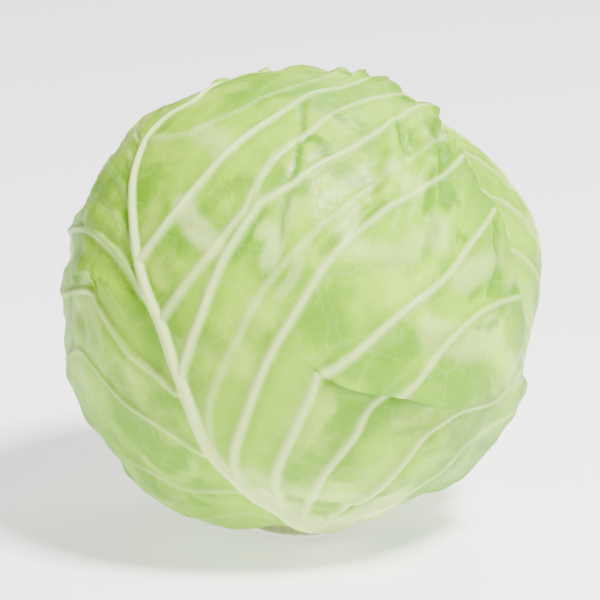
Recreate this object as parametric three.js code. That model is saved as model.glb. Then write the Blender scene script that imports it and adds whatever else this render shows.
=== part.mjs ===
// A head of white cabbage, about 170 mm across, standing on its cut stump. Four wrapper leaves are
// folded over each other round a tight heart, and each leaf is a thin curved blade with a thick midrib,
// raised side veins, pillows between them and a waved margin. Millimetres, +Z up. The origin is the
// middle of the stump's cut face, and the head's front faces -Y.
import * as THREE from "three";
import { mergeVertices } from "three/addons/utils/BufferGeometryUtils.js";

const DEGREE = Math.PI / 180;

// The head.
const HEAD_RADIUS = 84;
const HEAD_CENTRE = new THREE.Vector3(0, 0, 83);

// The stump, and the ring round it where every leaf starts.
const STUMP_FACE_RADIUS = 18;
const STUMP_RIM = 1.2;
const STUMP_CLEARANCE = 0.9;
const RING_ANGLE = 15;

// The leaves. A step is the way from one leaf's outer face to that of the next leaf beneath it.
const LEAF_THICKNESS = 1.0;
const MARGIN_THICKNESS = 0.7;
const LEAF_STEP = 2.3;
const HEART_CLEARANCE = 1.1;

// Beyond a covering leaf's margin, the leaf beneath stays pressed down, and then swells out to its full
// size.
const PRESSED_RIM = 2.5;
const SWELL_END = 24;
const RELIEF_END = 8;

// The front leaf is laid out on the picture that it was drawn from, in that picture's pixels: a square
// of twice PICTURE_MIDDLE, seen from EYE_DISTANCE and EYE_ELEVATION, with the head's outline at
// OUTLINE_RADIUS.
const PICTURE_MIDDLE = 300;
const OUTLINE_RADIUS = 235;
const EYE_DISTANCE = 1200;
const EYE_ELEVATION = 15;

const COLOURS = {
  frontLeaf: 0xc3dd92,
  wrapperLeaf: 0xc9e09c,
  heart: 0xe4ecc4,
  stump: 0xdfe0bd,
};

// Directions from the head's centre.

function direction(azimuth, elevation) {
  const a = azimuth * DEGREE;
  const e = elevation * DEGREE;
  return new THREE.Vector3(Math.sin(a) * Math.cos(e), -Math.cos(a) * Math.cos(e), Math.sin(e));
}

// A point of the ring round the stump, at the level where the leaves join the stem.
const onRing = (azimuth) => direction(azimuth, RING_ANGLE - 90);

const angleBetween = (a, b) => Math.acos(THREE.MathUtils.clamp(a.dot(b), -1, 1)) / DEGREE;

const smooth = (from, to, x) => THREE.MathUtils.smoothstep(x, from, to);

// A chart unrolls the head's surface round a middle direction: a point's distance from (0, 0) is its
// angle from that direction in degrees, and its bearing is true. It has no seam short of the far side.
class Chart {
  constructor(middle, up) {
    this.middle = middle.clone().normalize();
    this.right = new THREE.Vector3().crossVectors(up, this.middle).normalize();
    this.up = new THREE.Vector3().crossVectors(this.middle, this.right);
  }

  directionAt(point) {
    const reach = point.length() * DEGREE;
    const bearing = Math.atan2(point.y, point.x);
    return this.middle
      .clone()
      .multiplyScalar(Math.cos(reach))
      .addScaledVector(this.right, Math.sin(reach) * Math.cos(bearing))
      .addScaledVector(this.up, Math.sin(reach) * Math.sin(bearing));
  }

  pointFor(towards) {
    const reach = angleBetween(towards, this.middle);
    const bearing = Math.atan2(towards.dot(this.up), towards.dot(this.right));
    return new THREE.Vector2(reach * Math.cos(bearing), reach * Math.sin(bearing));
  }
}

// The picture's own chart, round the direction of the eye.
const picture = new Chart(direction(0, EYE_ELEVATION), new THREE.Vector3(0, 0, 1));

// A picture point on the chart. One outside the outline lies as far past the edge, along the hidden
// side.
function seen([x, y]) {
  const across = x - PICTURE_MIDDLE;
  const above = PICTURE_MIDDLE - y;
  const radius = Math.hypot(across, above);
  const outlineAngle = Math.asin(HEAD_RADIUS / EYE_DISTANCE);
  const past = Math.max(0, radius - OUTLINE_RADIUS) / OUTLINE_RADIUS;
  const ray = Math.atan((Math.min(radius, OUTLINE_RADIUS) / OUTLINE_RADIUS) * Math.tan(outlineAngle));
  const reach = Math.asin(Math.min(1, (EYE_DISTANCE * Math.sin(ray)) / HEAD_RADIUS)) - ray + past;
  return new THREE.Vector2(across, above).multiplyScalar(reach / DEGREE / Math.max(radius, 1e-6));
}

// The head's outer radius. It is a ball, flattened at the foot, with low swellings and hollows.
const SWELLINGS = [
  { towards: direction(0, -90), rise: -5, spread: 38 },
  { towards: direction(0, 90), rise: -1.5, spread: 34 },
  { towards: outlineAt(17), rise: 3.6, spread: 13 },
  { towards: outlineAt(48), rise: -4, spread: 9 },
  { towards: outlineAt(84), rise: -2.6, spread: 9 },
  { towards: outlineAt(116), rise: -2.4, spread: 9 },
  { towards: outlineAt(130), rise: 2.4, spread: 11 },
  { towards: outlineAt(176), rise: -1.8, spread: 10 },
  { towards: outlineAt(212), rise: 0.8, spread: 12 },
  { towards: outlineAt(240), rise: 5.6, spread: 20 },
  { towards: outlineAt(278), rise: -4.8, spread: 12 },
  { towards: outlineAt(294), rise: -1.3, spread: 9 },
  { towards: outlineAt(312), rise: 0.9, spread: 12 },
  { towards: outlineAt(350), rise: -1.6, spread: 7 },
  { towards: direction(150, 12), rise: 2.2, spread: 26 },
  { towards: direction(205, 28), rise: -1.6, spread: 22 },
  { towards: direction(178, -22), rise: 1.6, spread: 20 },
];

function outlineAt(bearing) {
  const onEdge = new THREE.Vector2(90, 0).rotateAround(new THREE.Vector2(), bearing * DEGREE);
  return picture.directionAt(onEdge);
}

function headRadius(towards) {
  return SWELLINGS.reduce(
    (radius, s) => radius + s.rise * Math.exp(-((angleBetween(towards, s.towards) / s.spread) ** 2)),
    HEAD_RADIUS,
  );
}

// A curve through chart points, starting at 0 and ending at 1 by length.
const curveThrough = (points) => new THREE.SplineCurve(points);

// The values at rising knots, joined by a smooth curve.
function between(knots, values, at) {
  const last = knots.length - 1;
  const k = Math.min(last - 1, Math.max(0, knots.findIndex((knot) => at < knot) - 1));
  const here = at >= knots[last] ? last - 1 : k;
  const slope = (i) => {
    const low = Math.max(0, i - 1);
    const high = Math.min(last, i + 1);
    return values[high].clone().sub(values[low]).divideScalar(knots[high] - knots[low]);
  };
  const gap = knots[here + 1] - knots[here];
  const t = (at - knots[here]) / gap;
  return values[here]
    .clone()
    .multiplyScalar((1 + 2 * t) * (1 - t) ** 2)
    .addScaledVector(slope(here), gap * t * (1 - t) ** 2)
    .addScaledVector(values[here + 1], t * t * (3 - 2 * t))
    .addScaledVector(slope(here + 1), gap * t * t * (t - 1));
}

// The nearest point of a line of directions to a direction: how far off it is in mm, and where along
// the line.
function nearestOn(line, towards) {
  let best = { off: Infinity, along: 0 };
  const segment = new THREE.Line3();
  const found = new THREE.Vector3();
  for (let i = 0; i + 1 < line.length; i += 1) {
    segment.set(line[i], line[i + 1]);
    const t = segment.closestPointToPointParameter(towards, true);
    const off = segment.at(t, found).distanceTo(towards) * HEAD_RADIUS;
    if (off < best.off) best = { off, along: (i + t) / (line.length - 1) };
  }
  return best;
}

// A leaf. Its blade is spanned by veins: side veins leave the midrib to the right and to the left, each
// from its own start along the midrib, and end on the margin. The first of each side is the leaf's
// lower edge, and the last is the midrib's own end, which both sides share.
class Leaf {
  constructor({
    name, colour, chart, midrib, right, left, ribs, ruffle, columns, folds = [], pleat = null,
  }) {
    Object.assign(this, { name, colour, chart, ribs, ruffle, columns, folds, pleat });
    this.midrib = curveThrough(midrib);
    this.sides = { right: this.spanned(right), left: this.spanned(left) };
    this.midribLine = this.lineOf(this.midrib, 48);
    this.outline = this.marginOutline();
  }

  spanned(veins) {
    const made = veins.map(({ start, points, strength }) => ({
      start,
      strength,
      curve: curveThrough([this.midrib.getPointAt(start), ...points]),
    }));
    for (const vein of made) vein.line = this.lineOf(vein.curve, 24);
    return made;
  }

  lineOf(curve, steps) {
    return curve.getSpacedPoints(steps).map((point) => this.chart.directionAt(point));
  }

  // The blade's point at a place along the midrib, and a share of the way out to the margin.
  pointOn(side, along, out) {
    const veins = this.sides[side];
    const offsets = veins.map((v) => v.curve.getPointAt(out).sub(this.midrib.getPointAt(v.start)));
    const offset = between(veins.map((v) => v.start), offsets, along);
    offset.multiplyScalar(1 + this.ruffle.jag(along, out));
    return this.midrib.getPointAt(THREE.MathUtils.clamp(along, 0, 1)).add(offset);
  }

  // The margin as reach over bearing, all round.
  marginOutline() {
    const samples = [];
    for (const side of ["right", "left"]) {
      for (let i = 0; i <= 60; i += 1) samples.push(this.pointOn(side, i / 60, 1));
      for (let i = 1; i <= 12; i += 1) samples.push(this.pointOn(side, 0, i / 12));
    }
    return samples
      .map((p) => ({ bearing: Math.atan2(p.y, p.x), reach: p.length() }))
      .sort((a, b) => a.bearing - b.bearing);
  }

  // How far outside this leaf's margin a direction is, in degrees; less than nothing within the leaf.
  outside(towards) {
    const point = this.chart.pointFor(towards);
    const bearing = Math.atan2(point.y, point.x);
    const next = this.outline.findIndex((o) => o.bearing > bearing);
    const high = this.outline[next < 0 ? 0 : next];
    const low = this.outline.at(next < 0 ? -1 : next - 1);
    const turn = 2 * Math.PI;
    const gap = (high.bearing - low.bearing + turn) % turn;
    const share = gap > 0 ? ((bearing - low.bearing + turn) % turn) / gap : 0;
    return point.length() - THREE.MathUtils.lerp(low.reach, high.reach, Math.min(1, share));
  }

  // The height of the midrib and the side veins above the blade.
  ribHeight(towards) {
    const { midrib, vein } = this.ribs;
    const main = nearestOn(this.midribLine, towards);
    let height = midrib.height(main.along) * ridge(main.off / midrib.halfWidth(main.along));
    for (const side of Object.values(this.sides)) {
      for (const { line, strength } of side.slice(1)) {
        const near = nearestOn(line, towards);
        const share = strength * ridge(near.off / vein.halfWidth(near.along));
        height = Math.max(height, vein.height(near.along) * share);
      }
    }
    return height;
  }

  // The height of the pillows, folds and waves of the blade itself above the head's round.
  bladeHeight(towards, pillow, along, out) {
    const rise = this.ruffle.rise(along, out);
    const folds = this.folds.reduce((sum, fold) => sum + fold.height(towards), 0);
    const lap = this.pleat ? this.pleat.height(towards) : 0;
    return pillow + rise + folds + lap;
  }
}

// A rounded ridge's height over its half width.
const ridge = (x) => (x < 1 ? Math.cos((x * Math.PI) / 2) ** 1.5 : 0);

// A fold where the blade laps over itself: it stands up along a line, its lip, and falls away on one
// side.
class Lap {
  constructor(points, { height, length, side, bladeSide = null, before = 0, lipHalf = 0 }) {
    this.line = curveThrough(points.map(seen)).getSpacedPoints(30).map((p) => picture.directionAt(p));
    Object.assign(this, { peak: height, length, side, bladeSide, before, lipHalf });
  }

  // Which side of the lip a direction is on: above 0 where the blade is raised.
  across(towards) {
    let best = { off: Infinity, value: 0 };
    for (let i = 0; i + 1 < this.line.length; i += 1) {
      const middle = this.line[i].clone().add(this.line[i + 1]).normalize();
      const off = middle.distanceTo(towards);
      if (off >= best.off) continue;
      const normal = new THREE.Vector3().crossVectors(this.line[i], this.line[i + 1]).normalize();
      best = { off, value: normal.dot(towards) * this.side };
    }
    return best.value;
  }

  height(towards) {
    const near = nearestOn(this.line, towards);
    if (near.off > this.length || this.across(towards) < 0) return 0;
    const fade = Math.sin(Math.PI * THREE.MathUtils.clamp(near.along, 0.02, 0.98)) ** 0.6;
    return this.peak * fade * (1 - near.off / this.length) ** 1.6;
  }

  // Where a row crosses the lip on its way out, or null if it doesn't.
  crossing(towardsAt) {
    const steps = 60;
    for (let i = 6; i < steps * 0.75; i += 1) {
      const [from, to] = [towardsAt(i / steps), towardsAt((i + 1) / steps)];
      const [low, high] = [this.across(from), this.across(to)];
      if (low >= 0 || high < 0) continue;
      const near = nearestOn(this.line, to);
      if (near.along <= 0.01 || near.along >= 0.99 || near.off > 4) continue;
      return (i + low / (low - high)) / steps;
    }
    return null;
  }
}

// A rounded fold of the blade along a line, where the margin is gathered.
class Gather {
  constructor(points, { height, halfWidth }) {
    this.line = curveThrough(points.map(seen)).getSpacedPoints(16).map((p) => picture.directionAt(p));
    Object.assign(this, { peak: height, halfWidth });
  }

  height(towards) {
    const near = nearestOn(this.line, towards);
    return this.peak * Math.sin(Math.PI * (0.25 + 0.6 * near.along)) * ridge(near.off / this.halfWidth);
  }
}

// A leaf's mesh. The rows follow the veins: each vein has a row on its crest and one at each foot, with
// a row between two veins' feet. The columns go out from the midrib's foot to the margin, and the
// midrib's crest is a line of its own, sewn to the first column of each side. Both faces are split
// alike.
const ROWS_PER_VEIN = 4;
const CREST_STEPS = 36;
const LEAD_ROWS = 8;
const PILLOW = 0.5;
const MM_PER_DEGREE = HEAD_RADIUS * DEGREE;

class Blade {
  constructor(leaf, covers) {
    this.leaf = leaf;
    this.covers = covers;
    this.outer = [];
    this.inner = [];
    this.faces = [];
    this.crest = [];
    for (let i = 0; i <= CREST_STEPS; i += 1) {
      const place = i / CREST_STEPS;
      this.crest.push({ place, vertex: this.vertex("right", place, 0, 0) });
    }
    this.grids = { right: this.gridOf("right"), left: this.gridOf("left") };
  }

  // How far from a vein its foot's row lies, as a share of the way to the next vein.
  footShare(side, k, next, out) {
    const veins = this.leaf.sides[side];
    const here = veins[k].curve.getPointAt(out);
    const away = veins[next].curve.getPointAt(out).sub(here);
    const tangent = veins[k].curve.getTangentAt(out);
    const gap = Math.abs(away.cross(tangent)) * MM_PER_DEGREE;
    const halfWidth = this.leaf.ribs.vein.halfWidth(out);
    return THREE.MathUtils.clamp((1.1 * halfWidth) / Math.max(gap, 0.1), 0.1, 0.38);
  }

  rowPlace(side, row, out) {
    const veins = this.leaf.sides[side];
    const k = Math.min(veins.length - 2, Math.floor(row / ROWS_PER_VEIN));
    const step = row - k * ROWS_PER_VEIN;
    const gap = veins[k + 1].start - veins[k].start;
    const shares = [
      () => 0,
      () => this.footShare(side, k, k + 1, out),
      () => 0.5,
      () => 1 - this.footShare(side, k + 1, k, out),
      () => 1,
    ];
    return veins[k].start + gap * shares[step]();
  }

  gridOf(side) {
    const rows = (this.leaf.sides[side].length - 1) * ROWS_PER_VEIN + 1;
    const lips = this.lipsOn(side, rows);
    const grid = [];
    for (let row = 0; row < rows; row += 1) {
      const outs = this.columnsAt(row, lips);
      grid.push(outs.map((out) => this.rowVertex(side, row, out)));
    }
    return grid;
  }

  // Where each row crosses the pleat's lip on its way out, or null.
  lipsOn(side, rows) {
    const { pleat } = this.leaf;
    if (!pleat || side !== pleat.bladeSide) return [];
    return Array.from({ length: rows }, (_, row) =>
      pleat.crossing((out) => this.towards(side, this.rowPlace(side, row, out), out)),
    );
  }

  // The columns of a row. Two of them stand close on either side of the lip, and the rows near it lead
  // up to that.
  columnsAt(row, lips) {
    const { columns, pleat } = this.leaf;
    const crossed = lips.map((lip, i) => (lip === null ? Infinity : Math.abs(i - row)));
    const away = Math.min(Infinity, ...crossed);
    if (away === Infinity) return columns;
    const { before } = pleat;
    const plainLip = (columns[before] + columns[before + 1]) / 2;
    const plainHalf = (columns[before + 1] - columns[before]) / 2;
    const lip = THREE.MathUtils.lerp(lips[crossed.indexOf(away)], plainLip, smooth(0, LEAD_ROWS, away));
    const half = THREE.MathUtils.lerp(pleat.lipHalf, plainHalf, smooth(0, LEAD_ROWS / 2, away));
    return columns.map((out, j) => {
      if (j <= before) return (out / columns[before]) * (lip - half);
      const rest = (out - columns[before + 1]) / (1 - columns[before + 1]);
      return lip + half + (1 - lip - half) * rest;
    });
  }

  rowVertex(side, row, out) {
    const middle = row % ROWS_PER_VEIN === 2;
    const pillow = middle ? PILLOW * Math.sin(Math.PI * Math.min(1, out * 1.1)) : 0;
    const place = this.rowPlace(side, row, out);
    return { place, vertex: this.vertex(side, place, out, Math.max(0, pillow)) };
  }

  towards(side, along, out) {
    return this.leaf.chart.directionAt(this.leaf.pointOn(side, along, out));
  }

  // Adds the outer and inner vertex at a place, and returns their number.
  vertex(side, along, out, pillow) {
    const { leaf } = this;
    const towards = this.towards(side, along, out);
    const bare = this.covers.reduce((b, c) => b * smooth(PRESSED_RIM, RELIEF_END, c.outside(towards)), 1);
    const relief = bare * leaf.bladeHeight(towards, pillow, along, out);
    const blade = pressedRadius(towards, this.covers) + relief;
    const thickness = THREE.MathUtils.lerp(LEAF_THICKNESS, MARGIN_THICKNESS, smooth(0.8, 1, out));
    const rib = bare * leaf.ribHeight(towards) * (1 - 0.9 * smooth(0.93, 1, out));
    this.outer.push(towards.clone().multiplyScalar(blade + rib));
    this.inner.push(towards.clone().multiplyScalar(blade - thickness));
    return this.outer.length - 1;
  }

  // Adds a triangle of the outer face and its twin of the inner face.
  face(a, b, c, turned) {
    const shift = this.outer.length;
    const [p, q] = turned ? [c, b] : [b, c];
    this.faces.push(a, p, q, a + shift, q + shift, p + shift);
  }

  // Splits a patch along its shorter diagonal.
  quad(a, b, c, d, turned) {
    const far = (p, q) => this.outer[p].distanceTo(this.outer[q]);
    if (far(a, c) <= far(b, d)) {
      this.face(a, b, c, turned);
      this.face(a, c, d, turned);
    } else {
      this.face(a, b, d, turned);
      this.face(b, c, d, turned);
    }
  }

  wall(a, b) {
    const shift = this.outer.length;
    this.faces.push(a, a + shift, b, b, a + shift, b + shift);
  }

  // Sews the midrib's crest to the first column of a side, and takes the nearer next place each time.
  sew(column, turned) {
    const { crest } = this;
    let i = 0;
    let j = 0;
    while (i + 1 < crest.length || j + 1 < column.length) {
      const crestNext = i + 1 < crest.length && crest[i + 1].place <= column[j + 1]?.place;
      const onCrest = j + 1 === column.length || crestNext;
      const next = onCrest ? crest[i + 1].vertex : column[j + 1].vertex;
      this.face(crest[i].vertex, column[j].vertex, next, turned);
      if (onCrest) i += 1;
      else j += 1;
    }
  }

  geometry() {
    for (const [side, grid] of Object.entries(this.grids)) {
      const turned = side === "left";
      this.sew(grid.map((line) => line[0]), turned);
      for (let i = 0; i + 1 < grid.length; i += 1) {
        for (let j = 0; j + 1 < grid[i].length; j += 1) {
          const [a, b] = [grid[i][j].vertex, grid[i][j + 1].vertex];
          const [d, c] = [grid[i + 1][j].vertex, grid[i + 1][j + 1].vertex];
          this.quad(a, b, c, d, turned);
        }
      }
      const lower = [this.crest[0], ...grid[0]];
      const edge = [...lower, ...grid.slice(1).map((line) => line.at(-1))].map((e) => e.vertex);
      if (turned) edge.reverse();
      for (let i = 0; i + 1 < edge.length; i += 1) this.wall(edge[i], edge[i + 1]);
    }
    return closedGeometry([...this.outer, ...this.inner], this.faces);
  }
}

function closedGeometry(vertices, faces) {
  const geometry = new THREE.BufferGeometry().setFromPoints(vertices);
  geometry.setIndex(faces);
  const merged = mergeVertices(geometry, 1e-3);
  merged.translate(...HEAD_CENTRE);
  merged.computeVertexNormals();
  return merged;
}

// The radius of a leaf's outer face where the leaves that cover it press it down.
function pressedRadius(towards, covers) {
  return covers.reduce(
    (radius, cover) => radius - LEAF_STEP * (1 - smooth(PRESSED_RIM, SWELL_END, cover.outside(towards))),
    headRadius(towards),
  );
}

// How thick the midrib and the side veins are.
function ribsOf({ baseWidth, baseHeight, width, height }) {
  return {
    midrib: {
      halfWidth: (along) => (width + baseWidth * Math.exp(-along / 0.1)) * (1 - 0.55 * along),
      height: (along) => (height + baseHeight * Math.exp(-along / 0.12)) * (1 - 0.6 * along),
    },
    vein: {
      halfWidth: (along) => width * (0.75 - 0.4 * along),
      height: (along) => height * (0.68 - 0.38 * along),
    },
  };
}

// The waves of the margin, which grow over the blade's outer part, with a small frill and notches at
// the edge.
const FRILL_RISE = 0.7;
const FRILLS_PER_WAVE = 3.3;
const NOTCH = 0.016;

function waves({ rise, count, phase, from = 0.7 }) {
  const turn = (share) => Math.sin(2 * Math.PI * share);
  const calmEnds = (along) => smooth(0.06, 0.2, along) * smooth(0.06, 0.2, 1 - along);
  return {
    rise: (along, out) => {
      const wave = 0.5 + 0.5 * turn(count * along + phase);
      const frillWave = 0.5 + 0.5 * turn(count * FRILLS_PER_WAVE * along);
      const frill = FRILL_RISE * smooth(0.9, 1, out) * frillWave;
      return rise * smooth(from, 1, out) ** 1.4 * (0.15 + 0.85 * wave) + frill * calmEnds(along);
    },
    jag: (along, out) =>
      NOTCH * smooth(0.86, 1, out) * turn(count * FRILLS_PER_WAVE * along + 0.3) * calmEnds(along),
  };
}

// A wrapper leaf of the common pattern, drawn on a chart round its own middle, in degrees.
// Its side veins leave the midrib at even steps, run up with it, and arch out to the margin.
const PATTERN_COLUMNS = [0.025, 0.06, 0.13, 0.24, 0.37, 0.51, 0.65, 0.79, 0.91, 1];
const VEINS_A_SIDE = 8;
const LOWEST_VEIN_END = -58;

function patternLeaf({ name, azimuth, elevation, stem, halfWidth, top, bottom, bend, ruffle }) {
  const chart = new Chart(direction(azimuth, elevation), new THREE.Vector3(0, 0, 1));
  const start = chart.pointFor(onRing(stem));
  const fork = new THREE.Vector2(bend, top * 0.62);
  const midway = start.clone().lerp(fork, 0.5).add(new THREE.Vector2(bend * 0.9, 0));
  const lower = start.clone().lerp(midway, 0.5).add(new THREE.Vector2(bend * 0.35, 0));
  const midrib = [start, lower, midway, fork];
  const spine = curveThrough(midrib);
  const tip = new THREE.Vector2(bend * 0.7, top);

  const side = (sign) => {
    const veins = [];
    const ringSteps = [0.4, 0.8, 1.15].map((t) => chart.pointFor(onRing(stem + sign * 42 * t)));
    const corner = marginPoint(sign, LOWEST_VEIN_END - 12);
    const edge = [...ringSteps, ringSteps[2].clone().lerp(corner, 0.5), corner];
    veins.push({ start: 0, strength: 0, points: edge });
    for (let k = 1; k <= VEINS_A_SIDE; k += 1) {
      const share = k / (VEINS_A_SIDE + 1);
      const place = share ** 1.25 * 0.93 + (sign > 0 ? 0.018 : 0);
      const end = marginPoint(sign, THREE.MathUtils.lerp(LOWEST_VEIN_END, 84, share ** 0.92));
      const root = spine.getPointAt(place);
      const run = root.distanceTo(end);
      const lift = spine.getTangentAt(place).multiplyScalar(run * 0.42);
      const control = root.clone().add(lift).lerp(end, 0.12);
      const arc = new THREE.QuadraticBezierCurve(root, control, end);
      veins.push({ start: place, strength: 1, points: [0.25, 0.5, 0.75, 1].map((t) => arc.getPoint(t)) });
    }
    veins.push({ start: 1, strength: 0.8, points: [fork.clone().lerp(tip, 0.5), tip] });
    return veins;
  };

  function marginPoint(sign, rise) {
    const reach = rise > 0 ? top : bottom;
    const full = Math.cos(rise * DEGREE) ** 0.8;
    return new THREE.Vector2(sign * halfWidth * full + bend * 0.4, reach * Math.sin(rise * DEGREE));
  }

  return new Leaf({
    name,
    colour: COLOURS.wrapperLeaf,
    chart,
    midrib,
    right: side(1),
    left: side(-1),
    ribs: ribsOf({ baseWidth: 9, baseHeight: 3.4, width: 3, height: 1.9 }),
    ruffle: waves(ruffle),
    columns: PATTERN_COLUMNS,
  });
}

// The front leaf, in picture points.
const FRONT_COLUMNS = [0.02, 0.045, 0.09, 0.17, 0.27, 0.38, 0.49, 0.6, 0.7, 0.8, 0.89, 0.95, 1];
const FRONT_MIDRIB = [
  [336, 543], [318, 533], [300, 522], [278, 510], [257, 498], [236, 480], [217, 461], [203, 439], [192, 412],
  [182, 385], [171, 356], [162, 327], [149, 298], [139, 265], [134, 233], [132, 201], [133, 178], [138, 158],
  [146, 139], [158, 124], [175, 110], [197, 97], [215, 75], [235, 50],
];

// Each side vein: its points from the midrib to the margin, and how strongly it stands out.
const FRONT_RIGHT_VEINS = [
  { points: [[353, 552], [372, 562], [402, 545], [430, 522], [456, 503]], strength: 0 },
  { points: [[326, 538], [350, 520], [389, 501], [412, 491], [440, 474], [463, 448], [483, 431], [504, 414],
    [518, 404]], strength: 0.8 },
  { points: [[313, 530], [335, 516], [364, 503], [389, 480], [412, 453], [421, 439], [437, 426], [463, 410],
    [496, 400], [510, 381], [522, 366]], strength: 0.9 },
  { points: [[299, 521], [309, 506], [319, 482], [332, 464], [356, 434], [364, 415], [378, 398], [412, 380],
    [432, 359], [453, 337], [477, 314], [494, 303], [514, 296]], strength: 0.9 },
  { points: [[285, 514], [275, 484], [281, 460], [297, 424], [311, 394], [318, 375], [335, 367], [361, 348],
    [389, 324], [415, 303], [447, 276], [466, 248], [478, 230], [488, 212]], strength: 1 },
  { points: [[248, 491], [233, 464], [240, 432], [252, 396], [265, 364], [283, 332], [303, 300], [325, 265],
    [348, 240], [388, 209], [422, 190], [448, 172], [460, 158]], strength: 1 },
  { points: [[212, 454], [208, 425], [209, 402], [222, 369], [240, 332], [254, 303], [285, 262], [330, 218],
    [380, 180], [422, 152], [444, 138]], strength: 0.45 },
  { points: [[180, 380], [186, 356], [198, 324], [211, 288], [230, 248], [249, 219], [260, 203], [286, 189],
    [316, 166], [356, 146], [391, 122], [415, 110], [432, 110]], strength: 1 },
  { points: [[160, 322], [180, 292], [205, 260], [230, 228], [247, 207], [259, 179], [276, 155], [310, 130],
    [332, 112], [356, 102], [380, 97], [404, 95]], strength: 0.75 },
  { points: [[138, 262], [154, 241], [174, 214], [203, 179], [233, 146], [251, 131], [289, 106], [313, 90],
    [348, 84], [376, 78]], strength: 1 },
  { points: [[146, 139], [166, 137], [186, 133], [205, 124], [225, 115], [243, 106], [262, 95], [290, 84],
    [330, 72], [348, 62]], strength: 0.35 },
  { points: [[250, 42], [262, 30]], strength: 0.8 },
];

const FRONT_LEFT_VEINS = [
  { points: [[301, 536], [270, 545], [235, 556], [190, 554], [146, 548]], strength: 0 },
  { points: [[300, 522], [272, 520], [241, 514], [209, 514], [185, 511], [155, 510], [120, 512]],
    strength: 0.45 },
  { points: [[250, 493], [232, 491], [209, 491], [185, 487], [165, 477], [146, 466], [126, 455], [108, 446],
    [84, 450]], strength: 0.7 },
  { points: [[214, 457], [193, 448], [178, 437], [158, 424], [139, 412], [123, 400], [109, 384], [96, 369],
    [80, 350], [60, 362]], strength: 0.9 },
  { points: [[186, 396], [174, 390], [162, 378], [146, 365], [130, 353], [119, 338], [109, 322], [99, 305],
    [88, 290], [52, 296]], strength: 0.9 },
  { points: [[150, 300], [142, 291], [133, 276], [122, 259], [107, 243], [95, 233], [80, 228], [52, 226]],
    strength: 0.85 },
  { points: [[136, 250], [124, 228], [110, 210], [92, 196], [52, 186]], strength: 0.3 },
  { points: [[132, 208], [122, 186], [108, 166], [88, 150], [60, 138]], strength: 0.3 },
  { points: [[134, 172], [126, 152], [112, 132], [92, 112], [78, 96]], strength: 0.3 },
  { points: [[143, 146], [136, 126], [126, 106], [104, 76]], strength: 0.35 },
  { points: [[168, 116], [158, 96], [150, 76], [146, 48]], strength: 0.35 },
  { points: [[250, 42], [262, 30]], strength: 0.8 },
];

// Where the front leaf laps over itself, in a long pleat at the right and a short tuck at the left, and
// where its upper right margin is gathered. The midrib's foot spreads to the right as a heel.
const FRONT_PLEAT = [
  [318, 370], [334, 379], [362, 385], [401, 388], [430, 395], [461, 397], [490, 391], [512, 380],
];
const FRONT_HEEL = [[316, 536], [338, 534], [362, 525], [384, 512], [398, 498]];
const FRONT_GATHERS = [
  [[376, 232], [386, 196], [391, 160], [392, 124]],
  [[402, 236], [414, 200], [424, 160], [424, 122]],
  [[436, 246], [450, 216], [460, 186], [462, 160]],
];
const FRONT_TUCK = [[121, 304], [112, 291], [94, 278], [80, 277], [68, 288]];

function frontLeaf() {
  const midrib = FRONT_MIDRIB.map(seen);
  const spine = curveThrough(midrib);
  const placeOf = (point) => {
    const steps = spine.getSpacedPoints(400);
    const away = steps.map((p) => p.distanceTo(point));
    return away.indexOf(Math.min(...away)) / 400;
  };
  const sideOf = (veins) =>
    veins.map(({ points, strength }, k) => {
      const last = k === veins.length - 1;
      const edge = k === 0 || last;
      const start = edge ? Number(last) : placeOf(seen(points[0]));
      return { start, strength, points: points.slice(edge ? 0 : 1).map(seen) };
    });
  return new Leaf({
    name: "front_leaf",
    colour: COLOURS.frontLeaf,
    chart: picture,
    midrib,
    right: sideOf(FRONT_RIGHT_VEINS),
    left: sideOf(FRONT_LEFT_VEINS),
    ribs: ribsOf({ baseWidth: 10.5, baseHeight: 4.6, width: 3.4, height: 2.2 }),
    ruffle: waves({ rise: 3, count: 8, phase: 0.1, from: 0.72 }),
    columns: FRONT_COLUMNS,
    folds: [
      new Lap(FRONT_TUCK, { height: 1.8, length: 9, side: -1 }),
      new Gather(FRONT_HEEL, { height: 2.4, halfWidth: 11 }),
      ...FRONT_GATHERS.map((points) => new Gather(points, { height: 3.2, halfWidth: 5.2 })),
    ],
    pleat: new Lap(FRONT_PLEAT, {
      height: 3.6, length: 22, side: 1, bladeSide: "right", before: 6, lipHalf: 0.012,
    }),
  });
}

// The leaves from the outermost to the innermost.
const LEAVES = [
  frontLeaf(),
  patternLeaf({
    name: "right_leaf", azimuth: 84, elevation: 4, stem: 84, halfWidth: 82, top: 84, bottom: 70, bend: 8,
    ruffle: { rise: 3, count: 7, phase: 0.3 },
  }),
  patternLeaf({
    name: "rear_left_leaf", azimuth: 228, elevation: 6, stem: 220, halfWidth: 78, top: 82, bottom: 70, bend: 10,
    ruffle: { rise: 3.4, count: 7, phase: 0.6 },
  }),
  patternLeaf({
    name: "rear_leaf", azimuth: 158, elevation: 14, stem: 152, halfWidth: 74, top: 74, bottom: 76, bend: 8,
    ruffle: { rise: 3, count: 6, phase: 0.2 },
  }),
];

// The heart: the tight ball of inner leaves, with the edges of the outer ones of them winding over its
// crown.
const HEART_TURNS = 3;
const HEART_EDGE = 1.6;

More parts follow.
